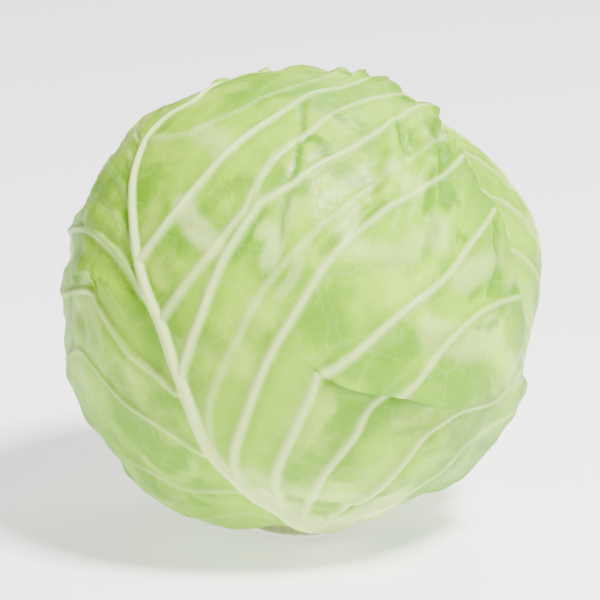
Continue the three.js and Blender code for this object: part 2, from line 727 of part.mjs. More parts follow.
function heartGeometry() {
  const ball = new THREE.IcosahedronGeometry(1, 6);
  ball.deleteAttribute("normal");
  ball.deleteAttribute("uv");
  const round = mergeVertices(ball, 1e-5);
  const at = round.getAttribute("position");
  const towards = new THREE.Vector3();
  for (let i = 0; i < at.count; i += 1) {
    towards.fromBufferAttribute(at, i).normalize();
    const azimuth = Math.atan2(towards.x, -towards.y);
    const crown = Math.acos(THREE.MathUtils.clamp(towards.z, -1, 1)) / Math.PI;
    const turn = azimuth / (2 * Math.PI) + crown * HEART_TURNS;
    const onCrown = smooth(0.02, 0.12, crown) * smooth(0.6, 0.4, crown);
    const edge = HEART_EDGE * (turn - Math.floor(turn)) * onCrown;
    const radius = pressedRadius(towards, LEAVES) - HEART_CLEARANCE - edge;
    towards.multiplyScalar(radius);
    at.setXYZ(i, towards.x, towards.y, towards.z);
  }
  round.translate(...HEAD_CENTRE);
  round.computeVertexNormals();
  return round;
}

// The stump: the cut stem, a little wider at the cut, between the leaves' bases and up to the heart.
function stumpGeometry() {
  const foot = direction(0, -90);
  const ringInnerRadius = (depth) => depth * Math.sin(RING_ANGLE * DEGREE) - STUMP_CLEARANCE;
  const heartFoot = pressedRadius(foot, LEAVES) - HEART_CLEARANCE;
  const topDepth = heartFoot + 1.2;
  const lipDepth = HEAD_CENTRE.z - STUMP_RIM * 2;
  const profile = [
    [0, 0],
    [STUMP_FACE_RADIUS, 0],
    [STUMP_FACE_RADIUS + STUMP_RIM * 0.7, STUMP_RIM * 0.3],
    [ringInnerRadius(lipDepth) - 0.6, STUMP_RIM],
    [ringInnerRadius(topDepth * Math.cos(RING_ANGLE * DEGREE)) - 1, HEAD_CENTRE.z - topDepth],
    [0, HEAD_CENTRE.z - topDepth],
  ].map(([r, z]) => new THREE.Vector2(r, z));
  return new THREE.LatheGeometry(profile, 32).rotateX(Math.PI / 2);
}

function piece(name, geometry, colour, roughness) {
  const material = new THREE.MeshStandardMaterial({ color: colour, roughness, metalness: 0 });
  const mesh = new THREE.Mesh(geometry, material);
  mesh.name = name;
  return mesh;
}

const cabbage = new THREE.Group();
cabbage.name = "cabbage_head";
LEAVES.forEach((leaf, i) => {
  const blade = new Blade(leaf, LEAVES.slice(0, i));
  cabbage.add(piece(leaf.name, blade.geometry(), leaf.colour, 0.45));
});
cabbage.add(piece("heart", heartGeometry(), COLOURS.heart, 0.5));
cabbage.add(piece("stump", stumpGeometry(), COLOURS.stump, 0.7));

export default cabbage;
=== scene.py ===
"""The looks of a cabbage head: ribbed, waxy wrapper leaves folded round a tight heart, on a cut stump.

Every leaf, the heart and the stump replace the plain solid of the same name and keep its form, with the
veins, pillows, folds and waves worked out again on a fine grid. Lengths are in millimetres until a mesh is
made.
"""

import logging
import math
from dataclasses import dataclass, field
from enum import Enum
from typing import ClassVar, Optional, Sequence

import bmesh
import bpy
import numpy as np
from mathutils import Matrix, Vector


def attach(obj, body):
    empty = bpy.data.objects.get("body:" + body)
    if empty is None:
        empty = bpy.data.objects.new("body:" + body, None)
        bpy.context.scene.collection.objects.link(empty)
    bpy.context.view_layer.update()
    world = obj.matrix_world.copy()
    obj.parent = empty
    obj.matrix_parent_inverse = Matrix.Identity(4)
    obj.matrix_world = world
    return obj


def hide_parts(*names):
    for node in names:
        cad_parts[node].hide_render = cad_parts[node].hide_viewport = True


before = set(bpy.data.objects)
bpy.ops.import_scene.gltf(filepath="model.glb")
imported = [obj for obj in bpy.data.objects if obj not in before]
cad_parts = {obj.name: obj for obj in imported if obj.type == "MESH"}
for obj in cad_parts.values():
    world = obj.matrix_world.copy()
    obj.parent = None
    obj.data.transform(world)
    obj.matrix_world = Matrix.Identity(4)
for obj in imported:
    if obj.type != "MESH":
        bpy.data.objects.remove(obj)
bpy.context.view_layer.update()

LOG = logging.getLogger("cabbage")
MM = 0.001
WELD_DISTANCE = 2e-6
SEED = 11

# The head's sizes in mm, and the ring of the leaves' feet round the stump in degrees from straight down.
HEAD_RADIUS = 84.0
HEAD_CENTRE = np.array([0.0, 0.0, 83.0])
STUMP_FACE_RADIUS = 18.0
STUMP_RIM = 1.2
STUMP_CLEARANCE = 0.9
RING_ANGLE = 15.0
LEAF_THICKNESS = 1.0
MARGIN_THICKNESS = 0.7
LEAF_STEP = 2.3
HEART_CLEARANCE = 1.1
PILLOW = 0.5

# Degrees outside a leaf's margin: where the face below starts to rise, is all risen, and has all its relief.
PRESSED_RIM = 2.5
SWELL_END = 24.0
RELIEF_END = 8.0

# The picture: its middle and the head's outline in pixels, the eye's distance in mm, and its elevation.
PICTURE_MIDDLE = 300.0
OUTLINE_RADIUS = 235.0
EYE_DISTANCE = 1200.0
EYE_ELEVATION = 15.0

Array = np.ndarray
Point = tuple[float, float]
Points = Sequence[Point]
Colour = tuple[float, float, float]
Socket = bpy.types.NodeSocket


def direction(azimuth: float, elevation: float) -> Array:
    """Gives the unit vector at an azimuth from -Y towards +X, and an elevation, both in degrees."""
    a, e = math.radians(azimuth), math.radians(elevation)
    return np.array([math.sin(a) * math.cos(e), -math.cos(a) * math.cos(e), math.sin(e)])


def smooth(low: float, high: float, x: Array) -> Array:
    """Eases from 0 at low to 1 at high: 3t^2 - 2t^3 of the clipped share t."""
    t = np.clip((x - low) / (high - low), 0.0, 1.0)
    return t * t * (3.0 - 2.0 * t)


def unit(vectors: Array) -> Array:
    """Scales vectors to length 1."""
    return vectors / np.linalg.norm(vectors, axis=-1, keepdims=True)


class Chart:
    """Unrolls the head's surface round a middle direction: reach in degrees over true bearing."""

    def __init__(self, middle: Array, up: Array) -> None:
        """Takes the middle direction and the one that is up at it."""
        self.middle = unit(middle)
        self.right = unit(np.cross(up, self.middle))
        self.up = np.cross(self.middle, self.right)

    def directions(self, points: Array) -> Array:
        """Gives the directions of chart points.

        Args:
            points: chart points in degrees, with the two coordinates last.

        Returns:
            Unit vectors: cos(reach) of the middle plus sin(reach) along the bearing.
        """
        reach = np.radians(np.hypot(points[..., 0], points[..., 1]))[..., None]
        bearing = np.arctan2(points[..., 1], points[..., 0])[..., None]
        aside = np.cos(bearing) * self.right + np.sin(bearing) * self.up
        return np.cos(reach) * self.middle + np.sin(reach) * aside

    def points(self, towards: Array) -> Array:
        """Gives the chart points of directions, the inverse of directions()."""
        reach = np.degrees(np.arccos(np.clip(towards @ self.middle, -1.0, 1.0)))
        bearing = np.arctan2(towards @ self.up, towards @ self.right)
        return np.stack([reach * np.cos(bearing), reach * np.sin(bearing)], axis=-1)


UP = np.array([0.0, 0.0, 1.0])
PICTURE = Chart(direction(0, EYE_ELEVATION), UP)


def seen(pixels: Points) -> Array:
    """Puts picture points on the picture's chart.

    Args:
        pixels: points of the picture in pixels, from its upper left corner.

    Returns:
        Chart points. A ray at angle r from the eye meets the ball at the reach asin(D sin r / R) - r. A
        point outside the outline lies as far past the edge, along the hidden side.
    """
    p = np.asarray(pixels, float)
    offset = np.stack([p[:, 0] - PICTURE_MIDDLE, PICTURE_MIDDLE - p[:, 1]], axis=1)
    radius = np.hypot(offset[:, 0], offset[:, 1])
    outline_angle = math.asin(HEAD_RADIUS / EYE_DISTANCE)
    past = np.maximum(0.0, radius - OUTLINE_RADIUS) / OUTLINE_RADIUS
    ray = np.arctan(np.minimum(radius, OUTLINE_RADIUS) / OUTLINE_RADIUS * math.tan(outline_angle))
    reach = np.arcsin(np.minimum(1.0, EYE_DISTANCE * np.sin(ray) / HEAD_RADIUS)) - ray + past
    return offset * (np.degrees(reach) / np.maximum(radius, 1e-6))[:, None]


def at_outline(bearing: float) -> Array:
    """Gives the direction of the picture's outline at a bearing in degrees."""
    a = math.radians(bearing)
    return PICTURE.directions(np.array([90 * math.cos(a), 90 * math.sin(a)]))


# Broad swellings and dips of the ball: the middle, the rise in mm, and the spread in degrees.
SWELLINGS = (
    (direction(0, -90), -5.0, 38.0),
    (direction(0, 90), -1.5, 34.0),
    (at_outline(17), 3.6, 13.0),
    (at_outline(48), -4.0, 9.0),
    (at_outline(84), -2.6, 9.0),
    (at_outline(116), -2.4, 9.0),
    (at_outline(130), 2.4, 11.0),
    (at_outline(176), -1.8, 10.0),
    (at_outline(212), 0.8, 12.0),
    (at_outline(240), 5.6, 20.0),
    (at_outline(278), -4.8, 12.0),
    (at_outline(294), -1.3, 9.0),
    (at_outline(312), 0.9, 12.0),
    (at_outline(350), -1.6, 7.0),
    (direction(150, 12), 2.2, 26.0),
    (direction(205, 28), -1.6, 22.0),
    (direction(178, -22), 1.6, 20.0),
)


def head_radius(towards: Array) -> Array:
    """Gives the head's outer radius: the ball's, plus rise * exp(-(angle / spread)^2) of each swelling."""
    radius = np.full(towards.shape[:-1], HEAD_RADIUS)
    for middle, rise, spread in SWELLINGS:
        angle = np.degrees(np.arccos(np.clip(towards @ middle, -1.0, 1.0)))
        radius += rise * np.exp(-((angle / spread) ** 2))
    return radius


class Curve:
    """A smooth curve through chart points, from 0 at its start to 1 at its end by length."""

    SAMPLES_A_SPAN: ClassVar[int] = 40
    TANGENT_REACH: ClassVar[float] = 0.004

    def __init__(self, points: Array) -> None:
        """Samples the Catmull-Rom curve through the points, and measures its length."""
        p = np.asarray(points, float)
        before = np.vstack([p[:1], p, p[-1:]])
        t = np.linspace(0.0, 1.0, self.SAMPLES_A_SPAN, endpoint=False)[:, None]
        spans = []
        for i in range(len(p) - 1):
            p0, p1, p2, p3 = before[i], before[i + 1], before[i + 2], before[i + 3]
            v0, v1 = (p2 - p0) / 2, (p3 - p1) / 2
            cubic, square = 2 * p1 - 2 * p2 + v0 + v1, 3 * p2 - 3 * p1 - 2 * v0 - v1
            spans.append(cubic * t**3 + square * t**2 + v0 * t + p1)
        self.dense = np.vstack([*spans, p[-1:]])
        steps = np.linalg.norm(np.diff(self.dense, axis=0), axis=1)
        self.place = np.concatenate([[0.0], np.cumsum(steps)])
        self.length = float(self.place[-1])
        self.place = self.place / self.length

    def at(self, share: Array) -> Array:
        """Gives the points at shares of the length."""
        x = np.interp(share, self.place, self.dense[:, 0])
        y = np.interp(share, self.place, self.dense[:, 1])
        return np.stack([x, y], axis=-1)

    def tangent(self, share: Array) -> Array:
        """Gives the unit tangents at shares of the length, from the points a little before and after."""
        low = np.clip(np.asarray(share) - self.TANGENT_REACH, 0.0, 1.0)
        high = np.clip(np.asarray(share) + self.TANGENT_REACH, 0.0, 1.0)
        return unit(self.at(high) - self.at(low))


def nearest_on(line: Array, towards: Array) -> tuple[Array, Array]:
    """Finds the nearest point of a line of directions to each direction.

    Args:
        line: the line's unit vectors in order.
        towards: unit vectors, in any array shape.

    Returns:
        The distance off the line in mm, and the place along it from 0 to 1.
    """
    flat = towards.reshape(-1, 3)
    best = np.full(len(flat), np.inf)
    along = np.zeros(len(flat))
    for i in range(len(line) - 1):
        step = line[i + 1] - line[i]
        t = np.clip((flat - line[i]) @ step / (step @ step), 0.0, 1.0)
        off = np.linalg.norm(flat - line[i] - t[:, None] * step, axis=1)
        nearer = off < best
        best = np.where(nearer, off, best)
        along = np.where(nearer, (i + t) / (len(line) - 1), along)
    shape = towards.shape[:-1]
    return (best * HEAD_RADIUS).reshape(shape), along.reshape(shape)


def ridge(x: Array) -> Array:
    """Gives a rounded ridge's height over its half width: cos(x pi/2)^1.5, and 0 past the foot."""
    return np.where(x < 1.0, np.abs(np.cos(np.minimum(x, 1.0) * math.pi / 2)) ** 1.5, 0.0)


@dataclass(frozen=True)
class Ribs:
    """How thick a leaf's midrib and side veins are, in mm."""

    base_width: float
    base_height: float
    width: float
    height: float

    BASE_WIDTH_SPREAD: ClassVar[float] = 0.1
    BASE_HEIGHT_SPREAD: ClassVar[float] = 0.12

    def midrib_half_width(self, along: Array) -> Array:
        """Gives the midrib's half width: its own plus the base's, which dies away, thinning to the tip."""
        base = self.base_width * np.exp(-along / self.BASE_WIDTH_SPREAD)
        return (self.width + base) * (1 - 0.55 * along)

    def midrib_height(self, along: Array) -> Array:
        """Gives the midrib's height above the blade, in the same way."""
        base = self.base_height * np.exp(-along / self.BASE_HEIGHT_SPREAD)
        return (self.height + base) * (1 - 0.6 * along)

    def vein_half_width(self, along: Array) -> Array:
        """Gives a side vein's half width, 0.75 of the midrib's at its root and 0.35 at the margin."""
        return self.width * (0.75 - 0.4 * along)

    def vein_height(self, along: Array) -> Array:
        """Gives a side vein's height, 0.68 of the midrib's at its root and 0.3 at the margin."""
        return self.height * (0.68 - 0.38 * along)


def turn(share: Array) -> Array:
    """Gives the sine of a share of a full turn."""
    return np.sin(2 * math.pi * share)


# The margin's frill: its rise in mm, its folds for each wave, and the notches' depth as a share.
FRILL_RISE = 0.7
FRILLS_PER_WAVE = 3.3
NOTCH = 0.016


@dataclass(frozen=True)
class Waves:
    """The waves of a leaf's margin, which grow over its outer part, with a frill and notches at the edge."""

    rise: float
    count: float
    phase: float
    start: float = 0.7

    @staticmethod
    def calm_ends(along: Array) -> Array:
        """Fades the edge's detail at the two ends of the margin."""
        return smooth(0.06, 0.2, along) * smooth(0.06, 0.2, 1 - along)

    def height(self, along: Array, out: Array) -> Array:
        """Gives the rise: a sine along the margin, eased in over the outer part, plus the frill."""
        wave = 0.5 + 0.5 * turn(self.count * along + self.phase)
        small_wave = 0.5 + 0.5 * turn(self.count * FRILLS_PER_WAVE * along)
        frill = FRILL_RISE * smooth(0.9, 1.0, out) * small_wave
        broad = self.rise * smooth(self.start, 1.0, out) ** 1.4 * (0.15 + 0.85 * wave)
        return broad + frill * self.calm_ends(along)

    def jag(self, along: Array, out: Array) -> Array:
        """Gives how much further out a place lies, as a share, where the edge is notched."""
        notch = turn(self.count * FRILLS_PER_WAVE * along + 0.3)
        return NOTCH * smooth(0.86, 1.0, out) * notch * self.calm_ends(along)


@dataclass
class PictureLine:
    """A line on the head's surface, given by its points in the picture."""

    SAMPLES: ClassVar[int] = 13

    pixels: Points
    line: Array = field(init=False)

    def __post_init__(self) -> None:
        """Turns the picture points into directions at even steps."""
        self.line = PICTURE.directions(Curve(seen(self.pixels)).at(np.linspace(0, 1, self.SAMPLES)))


@dataclass
class Lap(PictureLine):
    """A fold where the blade laps over itself: it stands up at its lip, and falls away on one side.

    The overhang and the reach of a crossing are in mm. The span is the share of the way out that is searched.
    """

    SAMPLES: ClassVar[int] = 31
    OVERHANG: ClassVar[float] = 2.6
    CROSSING_REACH: ClassVar[float] = 4.0
    SPAN: ClassVar[tuple[float, float]] = (0.1, 0.75)

    peak: float
    length: float
    side: int
    blade_side: str = ""
    before: int = 0
    lip_half: float = 0.0

    def normal(self, towards: Array) -> Array:
        """Gives the lip's unit normal where it is nearest to each direction, towards the raised side."""
        middles = unit(self.line[1:] + self.line[:-1])
        normals = unit(np.cross(self.line[:-1], self.line[1:])) * self.side
        return normals[np.argmax(towards @ middles.T, axis=-1)]

    def across(self, towards: Array) -> Array:
        """Says which side of the lip each direction is on: above 0 where the blade is raised."""
        return np.einsum("...i,...i->...", self.normal(towards), towards)

    @staticmethod
    def fade(along: Array) -> Array:
        """Fades the fold at the lip's two ends: sin(pi * place)^0.6."""
        return np.sin(math.pi * np.clip(along, 0.02, 0.98)) ** 0.6

    def height(self, towards: Array) -> Array:
        """Gives the fold's rise: the peak at the lip, falling as (1 - distance / length)^1.6."""
        off, along = nearest_on(self.line, towards)
        rise = self.peak * self.fade(along) * np.maximum(0.0, 1 - off / self.length) ** 1.6
        return np.where(self.across(towards) < 0, 0.0, rise)

    def pulled_over(self, towards: Array) -> Array:
        """Pulls the raised side's lip over the blade below it, by the overhang, fading out with distance."""
        off, along = nearest_on(self.line, towards)
        overhang = self.OVERHANG * self.fade(along) * np.exp(-off / self.OVERHANG / 1.6)
        pull = np.where(self.across(towards) < 0, 0.0, overhang)
        return unit(towards - self.normal(towards) * (pull / HEAD_RADIUS)[..., None])

    def crossing(self, towards: Array, outs: Array) -> Optional[float]:
        """Finds where a row crosses the lip.

        Args:
            towards: the row's directions.
            outs: their shares of the way out.

        Returns:
            The share at the crossing, or None.
        """
        side = self.across(towards)
        off, along = nearest_on(self.line, towards)
        crossed = (side[:-1] < 0) & (side[1:] >= 0) & (off[1:] < self.CROSSING_REACH)
        crossed &= (along[1:] > 0.01) & (along[1:] < 0.99)
        crossed &= (outs[:-1] >= self.SPAN[0]) & (outs[1:] <= self.SPAN[1])
        if not crossed.any():
            return None
        i = int(np.argmax(crossed))
        share = side[i] / (side[i] - side[i + 1])
        return float(outs[i] + share * (outs[i + 1] - outs[i]))


@dataclass
class Gather(PictureLine):
    """A rounded fold of the blade along a line, where the margin is gathered."""

    SAMPLES: ClassVar[int] = 17

    peak: float
    half_width: float

    def height(self, towards: Array) -> Array:
        """Gives the fold's rise, a ridge that is highest near its outer end."""
        off, along = nearest_on(self.line, towards)
        return self.peak * np.sin(math.pi * (0.25 + 0.6 * along)) * ridge(off / self.half_width)


@dataclass
class ShadeLine(PictureLine):
    """A soft line of another shade on the front leaf, with its half width in pixels."""

    half_width: float
    strength: float

    def mask(self, towards: Array) -> Array:
        """Gives the line's strength at each direction, fading out to its half width."""
        off, _ = nearest_on(self.line, towards)
        return self.strength * smooth(1.0, 0.4, off / (self.half_width * HEAD_RADIUS / OUTLINE_RADIUS))


@dataclass(frozen=True)
class Vein:
    """A side vein: its start along the midrib, its curve, its strength, and its line of directions."""

    start: float
    curve: Curve
    strength: float
    line: Array


def strongest(lines: Sequence[ShadeLine], towards: Array) -> Array:
    """Gives the strongest of the lines' masks at each direction."""
    mask = np.zeros(towards.shape[:-1])
    for line in lines:
        mask = np.maximum(mask, line.mask(towards))
    return mask


SideVeins = list[tuple[Optional[float], Array, float]]


@dataclass
class Leaf:
    """A leaf whose blade is spanned by veins that leave the midrib to the right and to the left."""

    name: str
    chart: Chart
    midrib_points: Array
    veins: dict[str, SideVeins]
    ribs: Ribs
    waves: Waves
    columns: Sequence[float]
    folds: Sequence[Lap | Gather] = ()
    pleat: Optional[Lap] = None
    # pale lines: paler veins and the heel, and painted sheen on the glossy parts
    pale_and_sheen_lines: Sequence[ShadeLine] = ()
    # green lines: greener patches, and painted shade in creases, under the pleat's lip and in pockets
    green_and_crease_shade_lines: Sequence[ShadeLine] = ()
    white_lines: Sequence[ShadeLine] = ()
    left_paleness: float = 1.0

    MIDRIB_SAMPLES: ClassVar[int] = 49
    VEIN_SAMPLES: ClassVar[int] = 25
    MARGIN_SAMPLES: ClassVar[int] = 61
    LOWER_EDGE_SAMPLES: ClassVar[int] = 12

    def __post_init__(self) -> None:
        """Builds the curves, and the margin as reach over bearing."""
        self.midrib = Curve(self.midrib_points)
        self.sides = {side: self.spanned(veins) for side, veins in self.veins.items()}
        self.midrib_line = self.chart.directions(self.midrib.at(np.linspace(0, 1, self.MIDRIB_SAMPLES)))
        self.knots = {side: np.array([v.start for v in veins]) for side, veins in self.sides.items()}
        up = np.linspace(0, 1, self.MARGIN_SAMPLES)
        outwards = np.arange(1, self.LOWER_EDGE_SAMPLES + 1) / self.LOWER_EDGE_SAMPLES
        places = []
        for side in ("right", "left"):
            places.append(self.point_on(side, up, np.ones_like(up)))
            places.append(self.point_on(side, np.zeros_like(outwards), outwards))
        margin = np.vstack(places)
        bearing = np.arctan2(margin[:, 1], margin[:, 0])
        order = np.argsort(bearing, kind="stable")
        self.margin_bearing = bearing[order]
        self.margin_reach = np.hypot(margin[:, 0], margin[:, 1])[order]

    def spanned(self, veins: SideVeins) -> list[Vein]:
        """Makes the side veins of one side, each from its start on the midrib."""
        made = []
        for start, points, strength in veins:
            curve = Curve(np.vstack([self.midrib.at(start), points]))
            line = self.chart.directions(curve.at(np.linspace(0, 1, self.VEIN_SAMPLES)))
            made.append(Vein(start, curve, strength, line))
        return made

    def point_on(self, side: str, along: Array, out: Array) -> Array:
        """Gives the blade's chart points.

        Args:
            side: right or left.
            along: places along the midrib, as an array of any shape.
            out: shares of the way out to the margin, of the same shape.

        Returns:
            The midrib's point plus the side veins' offsets at the same share, joined by a cubic Hermite
            curve over the veins' starts, with the slopes of a finite difference.
        """
        veins, knots = self.sides[side], self.knots[side]
        offsets = np.stack([v.curve.at(out) - self.midrib.at(v.start) for v in veins])
        last = len(knots) - 1
        here = np.clip(np.searchsorted(knots, along, side="right") - 1, 0, last - 1)

        def pick(index: Array) -> Array:
            """Takes each point's offset from the vein of that number."""
            return np.take_along_axis(offsets, index[None, ..., None], axis=0)[0]

        def slope(index: Array) -> Array:
            """Gives the offsets' slope at a vein from its two neighbours."""
            low, high = np.maximum(index - 1, 0), np.minimum(index + 1, last)
            return (pick(high) - pick(low)) / (knots[high] - knots[low])[..., None]

        gap = (knots[here + 1] - knots[here])[..., None]
        t = (np.asarray(along)[..., None] - knots[here][..., None]) / gap
        offset = pick(here) * (1 + 2 * t) * (1 - t) ** 2 + slope(here) * gap * t * (1 - t) ** 2
        offset += pick(here + 1) * t * t * (3 - 2 * t) + slope(here + 1) * gap * t * t * (t - 1)
        offset *= 1 + self.waves.jag(np.asarray(along), out)[..., None]
        return self.midrib.at(np.clip(along, 0, 1)) + offset

    def outside(self, towards: Array) -> Array:
        """Says how far outside the margin directions are, in degrees; less than nothing within the leaf."""
        point = self.chart.points(towards)
        bearing = np.arctan2(point[..., 1], point[..., 0])
        reach = np.interp(bearing, self.margin_bearing, self.margin_reach, period=2 * math.pi)
        return np.hypot(point[..., 0], point[..., 1]) - reach

    def rib_height(self, towards: Array) -> tuple[Array, Array, Array]:
        """Works out the ribs at each direction.

        Args:
            towards: unit vectors, in any array shape.

        Returns:
            The ribs' height above the blade, how much of a vein each point is, and how near to its foot, where
            the material paints shade.
        """
        off, along = nearest_on(self.midrib_line, towards)
        width = self.ribs.midrib_half_width(along)
        height = self.ribs.midrib_height(along) * ridge(off / width)
        pale = smooth(1.15, 0.6, off / width)
        # foot: the ring round each rib's foot, which the material darkens as painted shade
        foot = smooth(2.0, 1.1, off / width)
        for name, veins in self.sides.items():
            for vein in veins[1:]:
                off, along = nearest_on(vein.line, towards)
                width = self.ribs.vein_half_width(along)
                vein_height = self.ribs.vein_height(along) * vein.strength * ridge(off / width)
                height = np.maximum(height, vein_height)
                shade = vein.strength * smooth(1.25, 0.1, off / width) * (1 - 0.4 * along)
                pale = np.maximum(pale, shade * self.left_paleness if name == "left" else shade)
                foot = np.maximum(foot, vein.strength * smooth(3.2, 1.1, off / width))
        return height, pale, foot


def pressed_radius(towards: Array, covers: Sequence[Leaf]) -> Array:
    """Gives the radius of a face that the leaves above press down, one step for each where it covers."""
    radius = head_radius(towards)
    for cover in covers:
        radius = radius - LEAF_STEP * (1 - smooth(PRESSED_RIM, SWELL_END, cover.outside(towards)))
    return radius


def ripple(towards: Array, count: int, frequency: float, seed: int) -> Array:
    """Gives a smooth random field on the head: a sum of sines along random directions, about -1 to 1."""
    rng = np.random.default_rng(seed)
    total = np.zeros(towards.shape[:-1])
    for _ in range(count):
        axis = unit(rng.normal(size=3))
        pitch = frequency * rng.uniform(0.7, 1.4)
        total += np.sin(towards @ axis * pitch + rng.uniform(0, 2 * math.pi))
    return total / math.sqrt(count)


class Detail(Enum):
    """How fine a leaf's grid is: the rows near a vein, the rows between two veins, and the columns."""

    FRONT = (5, 12, 105)
    WRAPPER = (4, 8, 60)


# How far over a vein's foot its close rows reach, in half widths, and the least and the most of the way.
FOOT_STEPS = 1.1
FOOT_SHARES = (0.1, 0.38)
CREST_PLACES = 181
SEARCH_START = 0.02
SEARCH_STEPS = 180
# Blisters of the skin: the rise in mm, the number of waves, and their pitch.
BLISTERS = ((0.42, 12, 22.0), (0.22, 14, 48.0))
DEEPEST_DIP = 0.35
# The shares of the way out where the margin's detail starts.
THIN_FROM = 0.8
MARGIN_FROM = 0.86
RIBS_END_FROM = 0.93


class Blade:
    """A leaf's fine mesh: an outer face and an inner face on one grid, joined round the margin."""

    def __init__(self, leaf: Leaf, covers: Sequence[Leaf], detail: Detail) -> None:
        """Takes the leaf, the leaves that cover it, and its grid."""
        self.leaf = leaf
        self.covers = covers
        self.near_rows, self.middle_rows, self.column_count = detail.value

    def row_places(self, side: str, outs: Array) -> Array:
        """Places the rows of a side.

        Args:
            side: right or left.
            outs: the shares of the way out, as rows by columns or as one row.

        Returns:
            Places along the midrib, rows by columns: close rows over each vein's foot, even ones between.
        """
        veins = self.leaf.sides[side]
        rows = []
        for k in range(len(veins) - 1):
            low, high = self.foot_share(side, k, k + 1, outs), self.foot_share(side, k + 1, k, outs)
            near = np.linspace(0, 1, self.near_rows, endpoint=False)
            shares = [low * s for s in near]
            middle = np.linspace(0, 1, self.middle_rows)
            shares += [low + (1 - high - low) * s for s in middle]
            shares += [1 - high * s for s in near[:0:-1]]
            gap = veins[k + 1].start - veins[k].start
            rows += [veins[k].start + gap * s for s in shares]
        rows.append(np.ones_like(outs))
        return np.stack(rows)

    def foot_share(self, side: str, k: int, other: int, outs: Array) -> Array:
        """Gives how far from a vein its foot lies, as a share of the way to the next vein."""
        veins = self.leaf.sides[side]
        away = veins[other].curve.at(outs) - veins[k].curve.at(outs)
        tangent = veins[k].curve.tangent(outs)
        square_on = np.abs(away[..., 0] * tangent[..., 1] - away[..., 1] * tangent[..., 0])
        gap = np.maximum(square_on * math.radians(HEAD_RADIUS), 0.1)
        return np.clip(FOOT_STEPS * self.leaf.ribs.vein_half_width(outs) / gap, *FOOT_SHARES)

    def columns(self, side: str) -> Array:
        """Places the columns of a side.

        Args:
            side: right or left.

        Returns:
            Each row's shares of the way out. Where rows cross the pleat's lip, a column runs close on either
            side of it, and away from the pleat the columns ease back to even ones.
        """
        knots = np.concatenate([[0.0], self.leaf.columns])
        steps = np.linspace(0, len(self.leaf.columns), self.column_count + 1)[1:]
        even = np.interp(steps, np.arange(len(knots)), knots)
        places = self.row_places(side, even)
        outs = np.tile(even, (len(places), 1))
        pleat = self.leaf.pleat
        if pleat is None or pleat.blade_side != side:
            return outs
        fine = np.linspace(SEARCH_START, 1, SEARCH_STEPS)
        fine_places = self.row_places(side, fine)
        points = self.leaf.point_on(side, fine_places, np.tile(fine, (len(fine_places), 1)))
        towards = self.leaf.chart.directions(points)
        lips = [pleat.crossing(row, fine) for row in towards]
        crossed = np.array([i for i, lip in enumerate(lips) if lip is not None])
        low, high = knots[pleat.before + 1], knots[pleat.before + 2]
        # The columns ease back to even ones over the rows of two spans.
        lead = 2.0 * (self.near_rows * 2 + self.middle_rows)
        for i in range(len(outs)):
            nearest = crossed[np.argmin(np.abs(crossed - i))]
            away = np.array(abs(int(nearest) - i))
            ease = smooth(0, lead, away)
            lip = lips[nearest] * (1 - ease) + (low + high) / 2 * ease
            half_ease = smooth(0, lead / 2, away)
            half = pleat.lip_half * (1 - half_ease) + (high - low) / 2 * half_ease
            outs[i] = np.interp(even, [0, low, high, 1], [0, lip - half, lip + half, 1])
        return outs

    def bareness(self, towards: Array) -> Array:
        """Says how bare each place is: 0 under the leaves that cover this one, and 1 well clear of them."""
        bare = np.ones(towards.shape[:-1])
        for cover in self.covers:
            bare = bare * smooth(PRESSED_RIM, RELIEF_END, cover.outside(towards))
        return bare

    def relief(self, side: str, along: Array, out: Array, towards: Array) -> Array:
        """Works out the blade's relief, without its ribs.

        Args:
            side: right or left.
            along: places along the midrib.
            out: shares of the way out.
            towards: the places' directions.

        Returns:
            The rise in mm: a sine's pillow between two veins, the blisters that calm down at the veins, the
            margin's waves, and the folds.
        """
        knots = self.leaf.knots[side]
        here = np.clip(np.searchsorted(knots, along, side="right") - 1, 0, len(knots) - 2)
        share = np.clip((along - knots[here]) / (knots[here + 1] - knots[here]), 0, 1)
        pillow = PILLOW * np.sin(math.pi * share) ** 0.8 * np.sin(math.pi * np.minimum(1, out * 1.1))
        blister = sum(
            rise * ripple(towards, count, pitch, SEED + i) for i, (rise, count, pitch) in enumerate(BLISTERS)
        )
        calm = smooth(0.0, 0.12, out) * smooth(0.0, 0.2, share) * smooth(0.0, 0.2, 1 - share)
        height = np.maximum(0, pillow) + np.maximum(-DEEPEST_DIP, blister) * calm
        height = height + self.leaf.waves.height(along, out)
        for fold in self.leaf.folds:
            height = height + fold.height(towards)
        if self.leaf.pleat is not None:
            height = height + self.leaf.pleat.height(towards)
        return height

